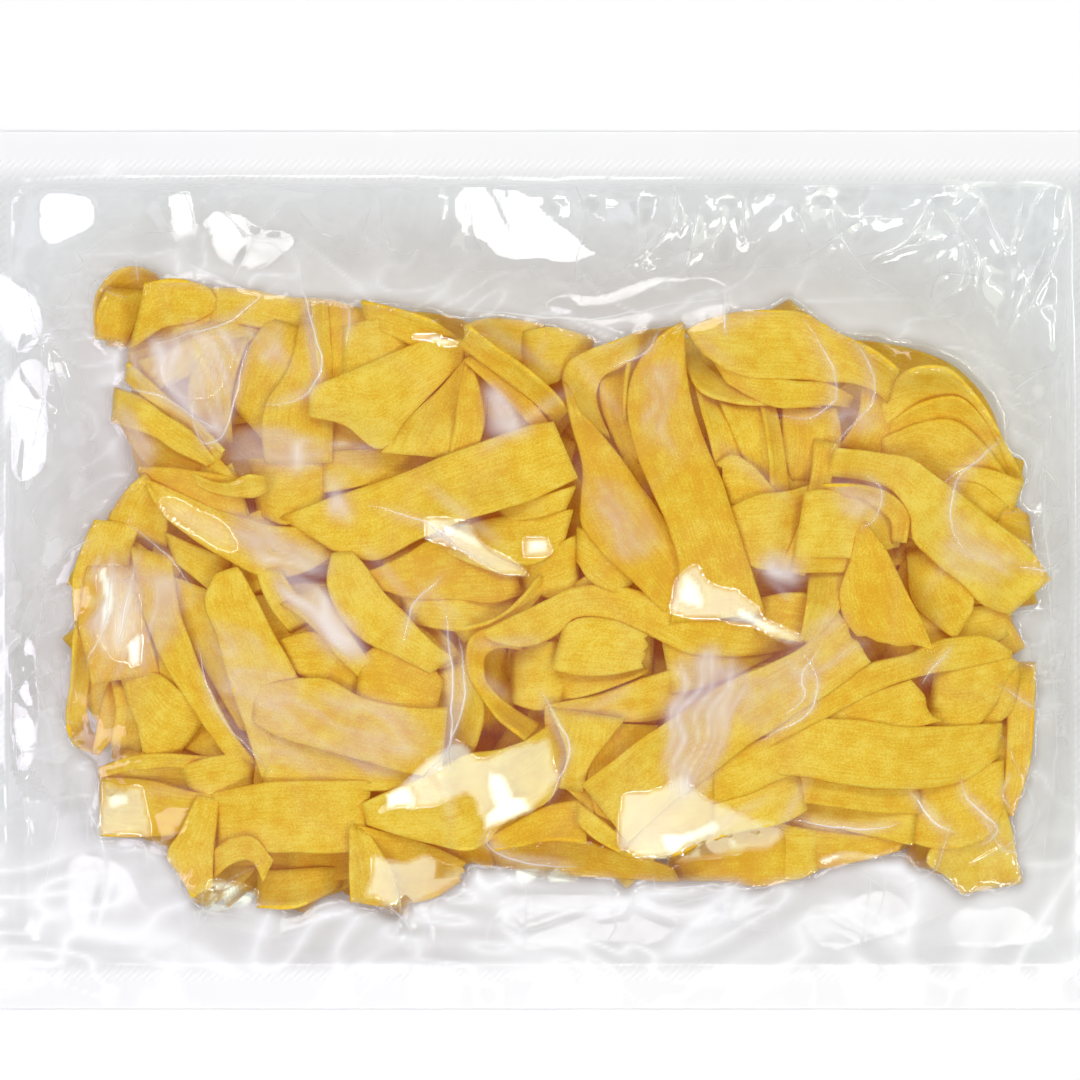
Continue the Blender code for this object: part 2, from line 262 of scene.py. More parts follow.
nearRightRibbons = [
    dict(tilt=0, a=[(83, -11), (92, -8), (102, -8)], b=[(80, -21), (90, -18), (101, -14)]),
    dict(tilt=1, a=[(101, -20), (101, -32), (100.5, -44), (99, -53)],
         b=[(107, -20), (106.2, -32), (105, -43), (102, -53)]),
    dict(tilt=1, ends="broken start", a=[(84, -59), (83, -62), (88, -66), (91.5, -70)],
         b=[(99, -49), (101.5, -56), (103, -63), (104.3, -67.7)]),
    dict(tilt=1, a=[(88, -19), (100, -17), (103.5, -22)], b=[(92, -34), (98, -33), (102.3, -30)]),
    dict(tilt=-4, a=[(78, -46), (86, -44.5), (92, -43), (100, -41)],
         b=[(79, -58), (86, -59.6), (92, -58.8), (97, -56), (100, -51)]),
    dict(tilt=1, a=[(54, -55), (62, -56), (70, -57), (79.5, -57)],
         b=[(56, -64), (62, -63.8), (68, -62.6), (77, -60)]),
    dict(tilt=0, a=[(48, -53), (54, -55), (60, -56)], b=[(50, -66), (55, -66.3), (60, -64.5)]),
    dict(tilt=1, a=[(54, -49.5), (62, -50), (72, -50.5), (81, -51)],
         b=[(55, -54), (64, -55), (72, -57), (80, -58.5)]),
    dict(tilt=1, a=[(28, -62.5), (33, -58.5), (38, -55.5), (46, -54), (52, -55.5)],
         b=[(29, -67), (38, -66.5), (46, -67.8), (51, -67.3), (55, -66)]),
    dict(tilt=0, a=[(53, -43), (62, -45), (72, -46.5), (81, -46)],
         b=[(54, -49), (62, -50), (72, -51.5), (82, -52)]),
    dict(tilt=0, a=[(33, -51), (40, -47), (46, -44), (55, -43)],
         b=[(34, -58), (44, -55), (52, -53.5), (57, -51)]),
    dict(tilt=1, a=[(33, -43), (42, -38), (50, -35), (57, -33)],
         b=[(35, -50), (44, -47.5), (52, -44), (58, -43)]),
    dict(tilt=0, a=[(85, -21), (92, -20), (100, -18.5), (103, -20)],
         b=[(83, -34), (88, -34.5), (94, -33), (99, -27)]),
    dict(tilt=1, ends="broken end", a=[(63, -29), (71, -26), (80, -23)], b=[(66, -34), (76, -34), (86, -32)]),
    dict(tilt=0.5, a=[(53, -31), (62, -31.8), (67, -32), (80, -33.6), (90, -33.5), (99.3, -33)],
         b=[(50, -43), (56, -43.5), (64, -45), (75, -46.3), (86, -46), (92, -44.5), (98.5, -40)]),
    dict(tilt=1, a=[(-11.5, -59), (-4, -58.5), (2, -57.3), (9, -58), (16, -60.5), (24, -62.5), (29, -64.5)],
         b=[(-9, -63.8), (-4, -64.5), (2, -65.3), (10, -65.8), (20, -66.3), (30, -67)]),
    dict(tilt=-2, a=[(-11, -57.5), (-5, -54), (2, -50.5), (9, -49)],
         b=[(-10, -59.5), (-4, -58.3), (2, -57.3), (10, -57.8)]),
    dict(tilt=2, a=[(8, -49.5), (12, -52.5), (18, -57.5)], b=[(8, -53.5), (12, -57), (18, -60.5)]),
    dict(tilt=0, a=[(23, -47), (30, -45), (37, -43)], b=[(18, -60.5), (28, -60.5), (37, -56)]),
    dict(tilt=-1, a=[(-6, -18), (-1, -15.5), (5, -15)], b=[(-6, -28), (0, -29.5), (8, -26)]),
    dict(tilt=-3, a=[(4, -22), (10, -20.5), (21, -19.3)], b=[(5, -27.5), (12, -25.5), (23, -21.5)]),
    dict(tilt=1.5, a=[(1, -28.5), (7, -27.5), (12, -26.5), (22, -23), (32, -20)],
         b=[(1, -33), (10, -31.5), (22, -32), (34, -29)]),
    dict(tilt=0, a=[(6, -32), (9, -40), (12, -52)], b=[(25, -33), (22, -42), (19, -55)]),
    dict(tilt=-1.5, a=[(2, -29), (4.5, -34), (6, -39), (4, -46)],
         b=[(18, -31.5), (14, -36.5), (10, -42), (9, -47)]),
    dict(tilt=0, a=[(26, -15), (40, -15.5), (53, -14)], b=[(28, -26), (37, -24), (50, -18)]),
    dict(tilt=4,
         a=[(-4, -11.5), (-10, -12), (-14.5, -14), (-15.5, -18),
            (-14.5, -23), (-12, -27), (-9, -31), (-3, -35.5)],
         b=[(-4, -16.5), (-9, -16), (-11.5, -17.5),
            (-12, -20), (-11, -24), (-8.5, -27), (-5, -30), (0, -33)]),
    dict(tilt=1.5,
         a=[(-13, -13.5), (-8, -11), (2, -6), (6, -4), (12, -3.2),
            (22, -4.5), (30, -8), (42, -11), (54, -12), (63, -8)],
         b=[(-10, -14.8), (-4, -15.8), (3, -13.5), (7, -10), (14, -10),
            (22, -12.8), (31, -17), (42, -18), (54, -16.5), (66, -12)]),
    dict(tilt=0.5, ends="broken end", a=[(5, -12), (8, -10.3), (14, -10.3), (23.5, -14)],
         b=[(2.5, -20.5), (8, -22), (15, -21.5), (22.5, -20)]),
    dict(tilt=1.5, a=[(101.5, -17.5), (96, -14.5), (88, -14.5), (78, -18), (70, -20), (60, -26), (48, -33)],
         b=[(101.5, -18.8), (93, -20.3), (85.4, -21.4), (73, -25), (62, -30.5), (48, -37.5)]),
    dict(tilt=1, lift=0.5, ends="broken start",
         a=[(64, -8.2), (57, -15.3), (48, -20.2), (40, -23.5), (33, -28), (22, -35.5), (9, -45.5)],
         b=[(71, -18.5), (62, -25.5), (53, -31), (44, -37), (36, -43), (28, -49.5), (18.5, -57.5)]),
]

nearLeftRibbons = [
    dict(tilt=2, a=[(-95, 11), (-97.5, 6), (-100, -1), (-100, -8), (-99, -15)],
         b=[(-86, 10), (-88, 4), (-89, -3), (-88, -10), (-87, -15)]),
    dict(tilt=2, a=[(-99.5, -11), (-101, -24), (-101.5, -33), (-100, -38), (-96.5, -39.7)],
         b=[(-96.5, -12), (-97.5, -24), (-98, -32), (-97.8, -35), (-96.5, -36.5)]),
    dict(tilt=-2, a=[(-93, -24), (-94.5, -30), (-95.5, -35), (-96.5, -39.5)],
         b=[(-88, -25), (-89.5, -30), (-92, -36), (-95.5, -39.7)]),
    dict(tilt=0, a=[(-92, -23), (-91, -30), (-92, -37)], b=[(-85, -27), (-85, -33), (-86, -39)]),
    dict(tilt=0, a=[(-94, -43), (-87, -42), (-76, -41), (-68, -41)],
         b=[(-94, -50), (-86, -49), (-75, -49), (-68, -50)]),
    dict(tilt=-1, a=[(-76, -27), (-70, -32), (-63, -37)], b=[(-80, -36), (-74, -39), (-66, -41)]),
    dict(tilt=0.5, a=[(-90, -23), (-82, -22), (-77, -25.5), (-71, -31)],
         b=[(-88, -29), (-86, -33), (-84, -39), (-77, -38.5)]),
    dict(tilt=1.5, a=[(-95, -42.7), (-85, -39.5), (-78, -39.2), (-70, -40)],
         b=[(-95, -44.5), (-86, -42.3), (-76, -42), (-70, -43)]),
    dict(tilt=1, a=[(-77, -42), (-70, -40), (-61, -39)], b=[(-74, -49), (-69, -49), (-62, -47)]),
    dict(tilt=0.5, a=[(-95, -44.5), (-86, -45), (-75, -47.5), (-68, -48.5)],
         b=[(-95, -57), (-90, -57.3), (-84, -57), (-74, -56)]),
    dict(tilt=1, a=[(-97, 1), (-98.5, -10), (-97, -18), (-95.5, -24.2)],
         b=[(-86, 1), (-85, -10), (-83, -17), (-81.5, -22)]),
    dict(tilt=0, a=[(-79, -1), (-76, -12), (-71, -22), (-64, -34)],
         b=[(-71, -4), (-67, -15), (-61, -26), (-55, -36)]),
    dict(tilt=0.5, a=[(-87, 5), (-84.8, -8), (-81, -18), (-74, -29), (-66, -40.5)],
         b=[(-79, 3), (-77, -8), (-73, -20), (-67, -32), (-61, -41)]),
    dict(tilt=-1, a=[(-60.5, 1), (-58, -6), (-53, -13)], b=[(-55, 0), (-52, -5), (-47, -10)]),
    dict(tilt=1, a=[(-56, -15), (-48, -13), (-38, -19)], b=[(-53, -21), (-46, -24), (-38, -28)]),
    dict(tilt=0, a=[(-55, -7), (-50, -10), (-42, -19), (-37, -24)],
         b=[(-47, -3), (-43, -9), (-37, -18), (-31, -23)]),
    dict(tilt=-0.5, a=[(-38, -18), (-33, -15.5), (-25.5, -18), (-20.5, -23.5)],
         b=[(-39, -27), (-34, -29), (-28, -30.5), (-22, -30)]),
    dict(tilt=1, a=[(-44, 3.8), (-44.8, -2), (-43, -8), (-38, -14), (-31, -17.5), (-23, -21.5)],
         b=[(-40, 4), (-37, 0.5), (-34, -4), (-29, -9), (-23, -15), (-18.5, -18.5)]),
    dict(tilt=0.5, a=[(-69, -0.5), (-71, -6), (-68.5, -14), (-66, -23), (-62, -35), (-59, -45)],
         b=[(-64.5, 1), (-61.5, -4), (-57.5, -12), (-53, -20), (-49, -30), (-46, -40)]),
    dict(tilt=0, a=[(-60, -57), (-50, -57), (-38, -56)], b=[(-58, -66.3), (-50, -66.8), (-38, -66.3)]),
    dict(tilt=0, a=[(-61, -65), (-52, -64.5), (-43, -64)], b=[(-60.8, -72.5), (-52, -72), (-43, -68.3)]),
    dict(tilt=1, a=[(-70, -63), (-73, -68), (-75, -72)], b=[(-61, -64), (-66, -69), (-72, -73)]),
    dict(tilt=0, a=[(-59, -34), (-50, -37), (-38, -40.5), (-27, -43)],
         b=[(-59, -47), (-46, -46.5), (-36, -46.5), (-26, -46)]),
    dict(tilt=1, a=[(-70.5, -48), (-62, -46), (-50, -44.8), (-36, -45)],
         b=[(-69, -59), (-62, -59.5), (-50, -60), (-38, -60)]),
    dict(tilt=2.5, a=[(-71, -61), (-66, -57.3), (-62, -56.8), (-57, -62)],
         b=[(-70, -66), (-66, -62.5), (-62, -61.5), (-59, -66)]),
    dict(tilt=2, a=[(-73, -48), (-77, -56), (-80, -61), (-77.5, -65), (-74.5, -70)],
         b=[(-69, -49), (-69.8, -56), (-70.5, -62), (-70.5, -68)]),
    dict(tilt=0, a=[(-27, -56), (-18, -56.5), (-8, -60.5)], b=[(-25, -61.5), (-18, -62), (-10, -64)]),
    dict(tilt=1, ends="end", a=[(-40, -54.5), (-31, -56.5), (-23, -59.5), (-15.4, -63)],
         b=[(-39.7, -70.5), (-31, -71.5), (-24, -70.5), (-16.5, -66.5)]),
    dict(tilt=3, a=[(-40.5, -54), (-40.5, -63), (-40, -70.5)], b=[(-37, -56), (-32.5, -63), (-30, -71.5)]),
    dict(tilt=0.5, lift=0.4,
         a=[(-61, -25), (-56, -24), (-50, -23), (-46, -23), (-38, -27), (-30, -29), (-19.5, -29)],
         b=[(-61, -32), (-55, -35), (-50, -36.5), (-38, -40), (-29, -42.5), (-21, -44)]),
    dict(tilt=1.5, a=[(-38, -50), (-30, -46.5), (-24, -44), (-16, -39.5), (-8, -38), (0, -34), (5, -30)],
         b=[(-37, -54), (-31, -56), (-24, -57.8), (-14, -59), (-6, -53.5), (2, -48.5), (5.5, -41), (7, -34)]),
]

# The nests in the order in which they are laid, each wound round its own centre.
nests = {
    "ribbons_middle": dict(centre=(-8, 0), half=(14, 12), seed=53, ribbons=middleRibbons),
    "nest_far_left": dict(centre=(-46, 33), half=(43, 24), seed=11, ribbons=farLeftRibbons),
    "nest_near_left": dict(centre=(-50, -30), half=(44, 30), seed=41, ribbons=nearLeftRibbons),
    "nest_near_right": dict(centre=(50, -36), half=(48, 27), seed=37, ribbons=nearRightRibbons),
    "nest_far_right": dict(centre=(56, 20), half=(44, 30), seed=23, ribbons=farRightRibbons),
}

# Hidden and half hidden ribbons, wound or laid in the hollows.
filler = {
    "wound": 12,  # ribbons wound inside each nest
    "woundInSmall": 3,  # and in a nest with no rings
    "smallNest": 20.0,  # half length of the largest nest with no rings
    "rings": 2,
    "ringPieces": 5,
    "ringWidth": 9.0,
    "ringSweep": 1.75,  # radians
    "ringTilt": -6.0,
    "nextRingTilt": -2.0,
    "width": 15.0,
    "hollows": 90,  # short ribbons at most
    "level": 0.9,  # of the heap's height
    "shallowest": 0.8,  # hollows this shallow are left
    "hollowBlur": 12,
    "innerBlur": 110,  # keeps the short ribbons well inside the outline
    "innerShare": 0.93,
    "shortReach": 11.0,  # half the length of a short ribbon
    "seed": 71,
}

# A plain body below all of them.
core = {
    "below": 8.0,  # how far it stays under the heap's own surface
    "inset": (22.0, 24.0),  # from the heap's ends and sides
    "share": 0.6,  # of that height, so that ribbons fill the rest
    "under": 0.5,  # below the ribbons that lie on it
    "lowest": 0.4,
}


def linearColour(hexText, alpha=1.0):
    channels = [int(hexText[i : i + 2], 16) / 255 for i in (1, 3, 5)]
    linear = [c / 12.92 if c <= 0.04045 else ((c + 0.055) / 1.055) ** 2.4 for c in channels]
    return (*linear, alpha)


def latticeNoise(x, y, size, seed):
    # Smooth noise from -1 to 1 whose hills are about size apart.
    values = np.random.default_rng(seed).uniform(-1, 1, (64, 64))
    column, row = np.asarray(x) / size, np.asarray(y) / size
    left, low = np.floor(column).astype(int), np.floor(row).astype(int)
    u, v = column - left, row - low
    u, v = u * u * (3 - 2 * u), v * v * (3 - 2 * v)
    corner = lambda i, j: values[(low + j) % 64, (left + i) % 64]
    near = corner(0, 0) * (1 - u) + corner(1, 0) * u
    far = corner(0, 1) * (1 - u) + corner(1, 1) * u
    return near * (1 - v) + far * v


def smoothCurve(points, count=240):
    # A curve through the points, at even steps of its own length.
    points = np.array(points, float)
    knots = np.concatenate([[0], np.cumsum(np.linalg.norm(np.diff(points, axis=0), axis=1))])
    slopes = np.gradient(points, knots, axis=0)
    at = np.linspace(0, knots[-1], count)
    span = np.clip(np.searchsorted(knots, at, side="right") - 1, 0, len(points) - 2)
    width = knots[span + 1] - knots[span]
    t = ((at - knots[span]) / width)[:, None]
    curve = (
        points[span] * (1 + 2 * t) * (1 - t) ** 2
        + points[span + 1] * t * t * (3 - 2 * t)
        + slopes[span] * width[:, None] * t * (1 - t) ** 2
        - slopes[span + 1] * width[:, None] * t * t * (1 - t)
    )
    length = np.concatenate([[0], np.cumsum(np.linalg.norm(np.diff(curve, axis=0), axis=1))])
    even = np.linspace(0, length[-1], count)
    return np.stack([np.interp(even, length, curve[:, k]) for k in (0, 1)], axis=1), length[-1]


class HeightGrid:
    # Heights at even steps over the whole pack, at first all 0.
    def __init__(self, step, halfX, halfY):
        self.step = step
        self.halfX, self.halfY = halfX, halfY
        self.columns = int(round(2 * halfX / step)) + 1
        self.rows = int(round(2 * halfY / step)) + 1
        self.x, self.y = np.meshgrid(np.linspace(-halfX, halfX, self.columns),
                                     np.linspace(-halfY, halfY, self.rows))
        self.z = np.zeros_like(self.x)

    def cell(self, x, y):
        column = np.clip(np.round((x + self.halfX) / self.step).astype(int), 0, self.columns - 1)
        row = np.clip(np.round((y + self.halfY) / self.step).astype(int), 0, self.rows - 1)
        return row, column

    def at(self, x, y):
        return self.z[self.cell(x, y)]

    def sample(self, field, x, y):
        column = np.clip((x + self.halfX) / self.step, 0, self.columns - 1.001)
        row = np.clip((y + self.halfY) / self.step, 0, self.rows - 1.001)
        left, low = column.astype(int), row.astype(int)
        u, v = column - left, row - low
        near = field[low, left] * (1 - u) + field[low, left + 1] * u
        far = field[low + 1, left] * (1 - u) + field[low + 1, left + 1] * u
        return near * (1 - v) + far * v

    def raiseTo(self, x, y, z):
        np.maximum.at(self.z, self.cell(x, y), z)


def sumOfNeighbours(field):
    padded = np.pad(field, 1, mode="edge")
    return padded[1:-1, :-2] + padded[1:-1, 2:] + padded[:-2, 1:-1] + padded[2:, 1:-1]


def blur(field, passes):
    for _ in range(passes):
        field = sumOfNeighbours(field) / 8 + field / 2
    return field


def heapTarget(x, y):
    inside = (np.abs(x / heap["halfLength"]) ** heap["cornerPower"]
              + np.abs(y / heap["halfWidth"]) ** heap["cornerPower"]) ** (1 / heap["cornerPower"])
    crown = 1 - np.minimum(inside, 1) ** heap["crownPower"]
    return heap["shoulder"] + heap["crown"] * crown


def drape(spec, ground, seed):
    # Lays one ribbon on what is there: a grid of points along and across it.
    rng = np.random.default_rng(seed)
    curveA, lengthA = smoothCurve(spec["a"])
    curveB, lengthB = smoothCurve(spec["b"])
    along = max(lengthA, lengthB)
    rows = max(6, int(along / ribbon["alongStep"]))
    across = np.linspace(0, 1, ribbon["acrossPoints"])[None, :]
    s = np.linspace(0, 1, rows)[:, None] * np.ones_like(across)
    jag = ribbon["jag"] * rng.uniform(0, 1, across.shape) / along
    ends = spec.get("ends", "")
    near = jag if "start" in ends else 0
    far = jag if "end" in ends.split() else 0
    s = near + s * (1 - near - far)
    steps = np.linspace(0, 1, len(curveA))
    pick = lambda curve, k: np.interp(s, steps, curve[:, k])
    ax, ay, bx, by = pick(curveA, 0), pick(curveA, 1), pick(curveB, 0), pick(curveB, 1)
    waver = ribbon["edgeWaver"]
    sMm = s * along
    shiftA = waver * latticeNoise(sMm, np.full_like(s, seed * 3.1), ribbon["waverLength"], seed)
    shiftB = waver * latticeNoise(sMm, np.full_like(s, seed * 5.7), ribbon["waverLength"], seed + 1)
    width = np.maximum(np.hypot(ax - bx, ay - by), 0.2)
    v = across
    v = v + (1 - v) * -shiftB / width + v * shiftA / width  # the edges waver, the middle does not
    x, y = bx + (ax - bx) * v, by + (ay - by) * v
    rel = spec.get("tilt", 0) * (across - 0.5) + ribbon["cup"] * (4 * (across - 0.5) ** 2 - 0.33)
    rel = rel + ribbon["warp"] * latticeNoise(sMm, across * width + seed, ribbon["warpLength"], seed + 2)
    rocking = latticeNoise(sMm, np.full_like(s, seed * 1.7), ribbon["twistLength"], seed + 3)
    rel = rel + ribbon["twist"] * (across - 0.5) * rocking
    need = (ground.at(x, y) + ribbon["thickness"] / 2 + ribbon["gap"] - rel).max(axis=1)
    centre = need.copy()
    for _ in range(ribbon["stiffness"]):
        padded = np.concatenate([centre[:1], centre, centre[-1:]])
        centre = np.maximum(need, (padded[:-2] + padded[2:]) / 4 + centre / 2)
    z = centre[:, None] + rel + spec.get("lift", 0)
    layDown(np.stack([x, y, z], axis=2), ground)
    for word, fromEnd in (("start", sMm), ("end", along - sMm)):
        if word not in ends.split():
            z = z - ribbon["tuck"] * np.clip(1 - fromEnd / min(ribbon["tuckLength"], along / 3), 0, 1) ** 2
    points = np.stack([x, y, z], axis=2)
    # Where each point lies on the ribbon, for its streaks and its tone: every ribbon has its own.
    place = np.stack([sMm + seed * 37.0, (across - 0.5) * width, np.full_like(s, seed % 17)], axis=2)
    return points, place


def layDown(points, ground):
    # Raises the ground to the ribbon's upper face, sampled finely enough to leave no holes.
    rows, columns = points.shape[:2]
    fineRows = np.linspace(0, rows - 1, rows * 3)
    fineColumns = np.linspace(0, columns - 1, columns * 4)
    low, left = np.minimum(fineRows.astype(int), rows - 2), np.minimum(fineColumns.astype(int), columns - 2)
    u, v = (fineColumns - left)[None, :, None], (fineRows - low)[:, None, None]
    near = points[low][:, left] * (1 - u) + points[low][:, left + 1] * u
    far = points[low + 1][:, left] * (1 - u) + points[low + 1][:, left + 1] * u
    fine = near * (1 - v) + far * v
    ground.raiseTo(fine[..., 0], fine[..., 1], fine[..., 2] + ribbon["thickness"] / 2)


def windRibbons(nest):
    # Seeded ribbons wound round the nest, under the ones that are seen whole.
    rng = np.random.default_rng(nest["seed"])
    (cx, cy), (halfX, halfY) = nest["centre"], nest["half"]
    made = []
    small = halfX < filler["smallNest"]
    for ring in range(0 if small else filler["rings"]):
        for piece in range(filler["ringPieces"]):
            start = (piece + rng.uniform(-0.2, 0.2)) * 2 * math.pi / filler["ringPieces"] + ring
            turn = np.linspace(start, start + filler["ringSweep"], 6)
            edges = []
            for reach in (1.0, 1.0 - filler["ringWidth"] / halfY):
                cos, sin = np.cos(turn), np.sin(turn)
                bulge = (np.abs(cos) ** 3 + np.abs(sin) ** 3) ** (-1 / 3)
                edges.append(np.stack([cx + halfX * reach * bulge * cos,
                                       cy + halfY * reach * bulge * sin], axis=1))
            tilt = filler["ringTilt"] + filler["nextRingTilt"] * ring
            made.append(dict(tilt=tilt, a=edges[0], b=edges[1]))
    for _ in range(filler["woundInSmall"] if small else filler["wound"]):
        reach = rng.uniform(0.25, 0.75)
        start, sweep = rng.uniform(0, 2 * math.pi), rng.uniform(1.4, 2.8)
        turn = np.linspace(start, start + sweep, 7)
        edges = []
        for side in (0.5, -0.5):
            offset = side * filler["width"] * rng.uniform(0.75, 1.0)
            edges.append(np.stack([cx + (halfX * reach + offset) * np.cos(turn),
                                   cy + (halfY * reach + offset) * np.sin(turn)], axis=1))
        made.append(dict(tilt=rng.uniform(-4, 4), a=edges[0], b=edges[1]))
    return made


def fillHollows(ground):
    # Lays short ribbons, one at a time, where the wound ones leave the deepest hollow,
    # well inside the outline of the ribbons that are seen whole.
    rng = np.random.default_rng(filler["seed"])
    flat = HeightGrid(ground.step, ground.halfX, ground.halfY)
    for nest in nests.values():
        for spec in nest["ribbons"]:
            drape(spec, flat, 1)
    inner = blur((flat.z > 0).astype(float), filler["innerBlur"]) > filler["innerShare"]
    wanted = np.where(inner, filler["level"] * heapTarget(ground.x, ground.y), 0)
    made = []
    for number in range(filler["hollows"]):
        lack = np.where(inner, blur(wanted - ground.z, filler["hollowBlur"]), 0)
        if lack.max() < filler["shallowest"]:
            break
        x, y = (float(axis.ravel()[np.argmax(lack)]) for axis in (ground.x, ground.y))
        heading = rng.uniform(0, math.pi)
        way = np.array([math.cos(heading), math.sin(heading)])
        side = np.array([-way[1], way[0]]) * filler["width"] / 2
        middle = np.array([x, y]) + rng.uniform(-2, 2, 2)
        half = filler["shortReach"]
        spine = [middle + way * reach + side * rng.uniform(-0.2, 0.2) for reach in (-half, -4, 4, half)]
        spec = dict(tilt=rng.uniform(-3, 3),
                    a=[point + side for point in spine],
                    b=[point - side for point in spine])
        made.append((middle, drape(spec, ground, 9000 + number)))
    return made


def ribbonSolid(points, place, firstVertex):
    # Closes one draped ribbon: upper face, rounded edges, lower face and two ends.
    rows, columns = points.shape[:2]
    alongWay = np.gradient(points, axis=0)
    acrossWay = np.gradient(points, axis=1)
    normal = np.cross(alongWay, acrossWay)
    size = np.linalg.norm(normal, axis=2, keepdims=True)
    normal = np.where(size > 1e-6, normal / np.maximum(size, 1e-6), [0.0, 0.0, 1.0])
    normal = np.where(normal[..., 2:] < 0, -normal, normal)
    half = ribbon["thickness"] / 2
    outward = acrossWay / np.maximum(np.linalg.norm(acrossWay, axis=2, keepdims=True), 1e-6)
    rim = half * ribbon["rim"]
    upper, lower = points + normal * half, points - normal * half
    loop = np.concatenate([
        upper,
        (points[:, -1:] + outward[:, -1:] * rim),
        lower[:, ::-1],
        (points[:, :1] - outward[:, :1] * rim),
    ], axis=1)
    placeLoop = np.concatenate([place, place[:, -1:], place[:, ::-1], place[:, :1]], axis=1)
    around = loop.shape[1]
    index = firstVertex + np.arange(rows * around).reshape(rows, around)
    nextIndex = np.roll(index, -1, axis=1)
    quads = np.stack([index[:-1], nextIndex[:-1], nextIndex[1:], index[1:]], axis=2).reshape(-1, 4)
    caps = []
    for row, flip in ((0, False), (rows - 1, True)):
        for k in range(columns - 1):
            under = (index[row, 2 * columns - k], index[row, 2 * columns - 1 - k])
            cap = [index[row, k], *under, index[row, k + 1]]
            caps.append(cap[::-1] if flip else cap)
        for k, edge in ((0, around - 1), (columns - 1, columns)):
            other = 2 * columns - k
            tri = [index[row, k], index[row, edge], index[row, other]]
            if (k == 0) == flip:
                tri = tri[::-1]
            caps.append(tri)
    return loop.reshape(-1, 3), placeLoop.reshape(-1, 3), quads.tolist() + caps


def joinRibbons(ribbons):
    # The closed ribbons of one nest, as one set of vertices, places and faces.
    vertices, places, faces = [], [], []
    count = 0
    for points, place in ribbons:
        solid, solidPlace, solidFaces = ribbonSolid(points, place, count)
        vertices.append(solid)
        places.append(solidPlace)
        faces += solidFaces
        count += len(solid)
    return np.concatenate(vertices), np.concatenate(places), faces


def layCore(ground):
    # Raises the ground to the core, and gives the core's own points as rings from its middle.
    halfX, halfY = heap["halfLength"] - core["inset"][0], heap["halfWidth"] - core["inset"][1]
    inCore = (np.abs(ground.x / halfX) ** 3 + np.abs(ground.y / halfY) ** 3) ** (1 / 3)
    rise = (heapTarget(ground.x, ground.y) - core["below"]) * (1 - inCore**6) * core["share"]
    ground.z = np.where(inCore < 1, rise, 0)
    turns, shares = np.meshgrid(np.linspace(0, 2 * math.pi, 97), np.linspace(0, 1, 24))
    bulge = (np.abs(np.cos(turns)) ** 3 + np.abs(np.sin(turns)) ** 3) ** (-1 / 3)
    x, y = halfX * shares * bulge * np.cos(turns), halfY * shares * bulge * np.sin(turns)
    return np.stack([x, y, np.maximum(ground.sample(ground.z, x, y) - core["under"], core["lowest"])], axis=2)


def pressHeap(draped, ground):
    # The bag presses the heap to its own rounded shape, which keeps every ribbon in its order.
    covered = (ground.z > 1).astype(float)
    passes = heap["pressBlur"]
    loose = blur(ground.z * covered, passes) / np.maximum(blur(covered, passes), 0.05)
    press = heap["fullness"] * heapTarget(ground.x, ground.y) / np.maximum(loose, 3)
    press = blur(np.clip(press, heap["hardestPress"], heap["softestPress"]), heap["pressSoftness"])
    for ribbons in draped.values():
        for points, _ in ribbons:
            raised = points[..., 2] * ground.sample(press, points[..., 0], points[..., 1])
            over = np.maximum(raised - heap["crest"], 0) / heap["crestRoom"]
            pressed = np.minimum(raised, heap["crest"]) + heap["crestRoom"] * (1 - np.exp(-over))
            points[..., 2] = np.maximum(pressed, ribbon["thickness"] / 2 + heap["lowest"])


def newMesh(name, vertices, faces, material):
    mesh = bpy.data.meshes.new(name)
    mesh.from_pydata((np.asarray(vertices) * mm).tolist(), [], faces)
    mesh.validate()
    mesh.polygons.foreach_set("use_smooth", [True] * len(mesh.polygons))
    mesh.materials.append(material)
    obj = bpy.data.objects.new(name, mesh)
    bpy.context.scene.collection.objects.link(obj)
    return obj


def setAttribute(obj, name, values):
    # One number, or one vector of three, at each point of the piece.
    values = np.asarray(values, np.float32)
    isVector = values.ndim > 1 and values.shape[-1] == 3
    attribute = obj.data.attributes.new(name, "FLOAT_VECTOR" if isVector else "FLOAT", "POINT")
    attribute.data.foreach_set("vector" if isVector else "value", values.ravel())


def addNode(tree, kind, inputs=None, **settings):
    node = tree.nodes.new(kind)
    for name, value in settings.items():
        setattr(node, name, value)
    for socket, value in (inputs or {}).items():
        if isinstance(value, bpy.types.NodeSocket):
            tree.links.new(value, node.inputs[socket])
        else:
            node.inputs[socket].default_value = value
    return node


def newMaterial(name):
    material = bpy.data.materials.new(name)
    material.use_nodes = True
    material.node_tree.nodes.clear()
    return material


def maths(tree, operation, *values, **settings):
    node = addNode(tree, "ShaderNodeMath", dict(enumerate(values)), operation=operation, **settings)
    return node.outputs[0]


def vectorMaths(tree, operation, *values):
    node = addNode(tree, "ShaderNodeVectorMath", dict(enumerate(values)), operation=operation)
    return node.outputs["Vector"]


def noise(tree, place, scale, detail):
    sockets = {"Vector": place, "Scale": scale, "Detail": detail}
    return addNode(tree, "ShaderNodeTexNoise", sockets).outputs["Fac"]


def readAttribute(tree, name, output):
    return addNode(tree, "ShaderNodeAttribute", attribute_name=name).outputs[output]


def colourRamp(tree, value, low, middle, high):
    # Each of the three is a place from 0 to 1 and its colour.
    node = addNode(tree, "ShaderNodeValToRGB", {"Fac": value})
    elements = node.color_ramp.elements
    elements[0].position, elements[0].color = low
    elements[1].position, elements[1].color = high
    elements.new(middle[0]).color = middle[1]
    return node.outputs["Color"]


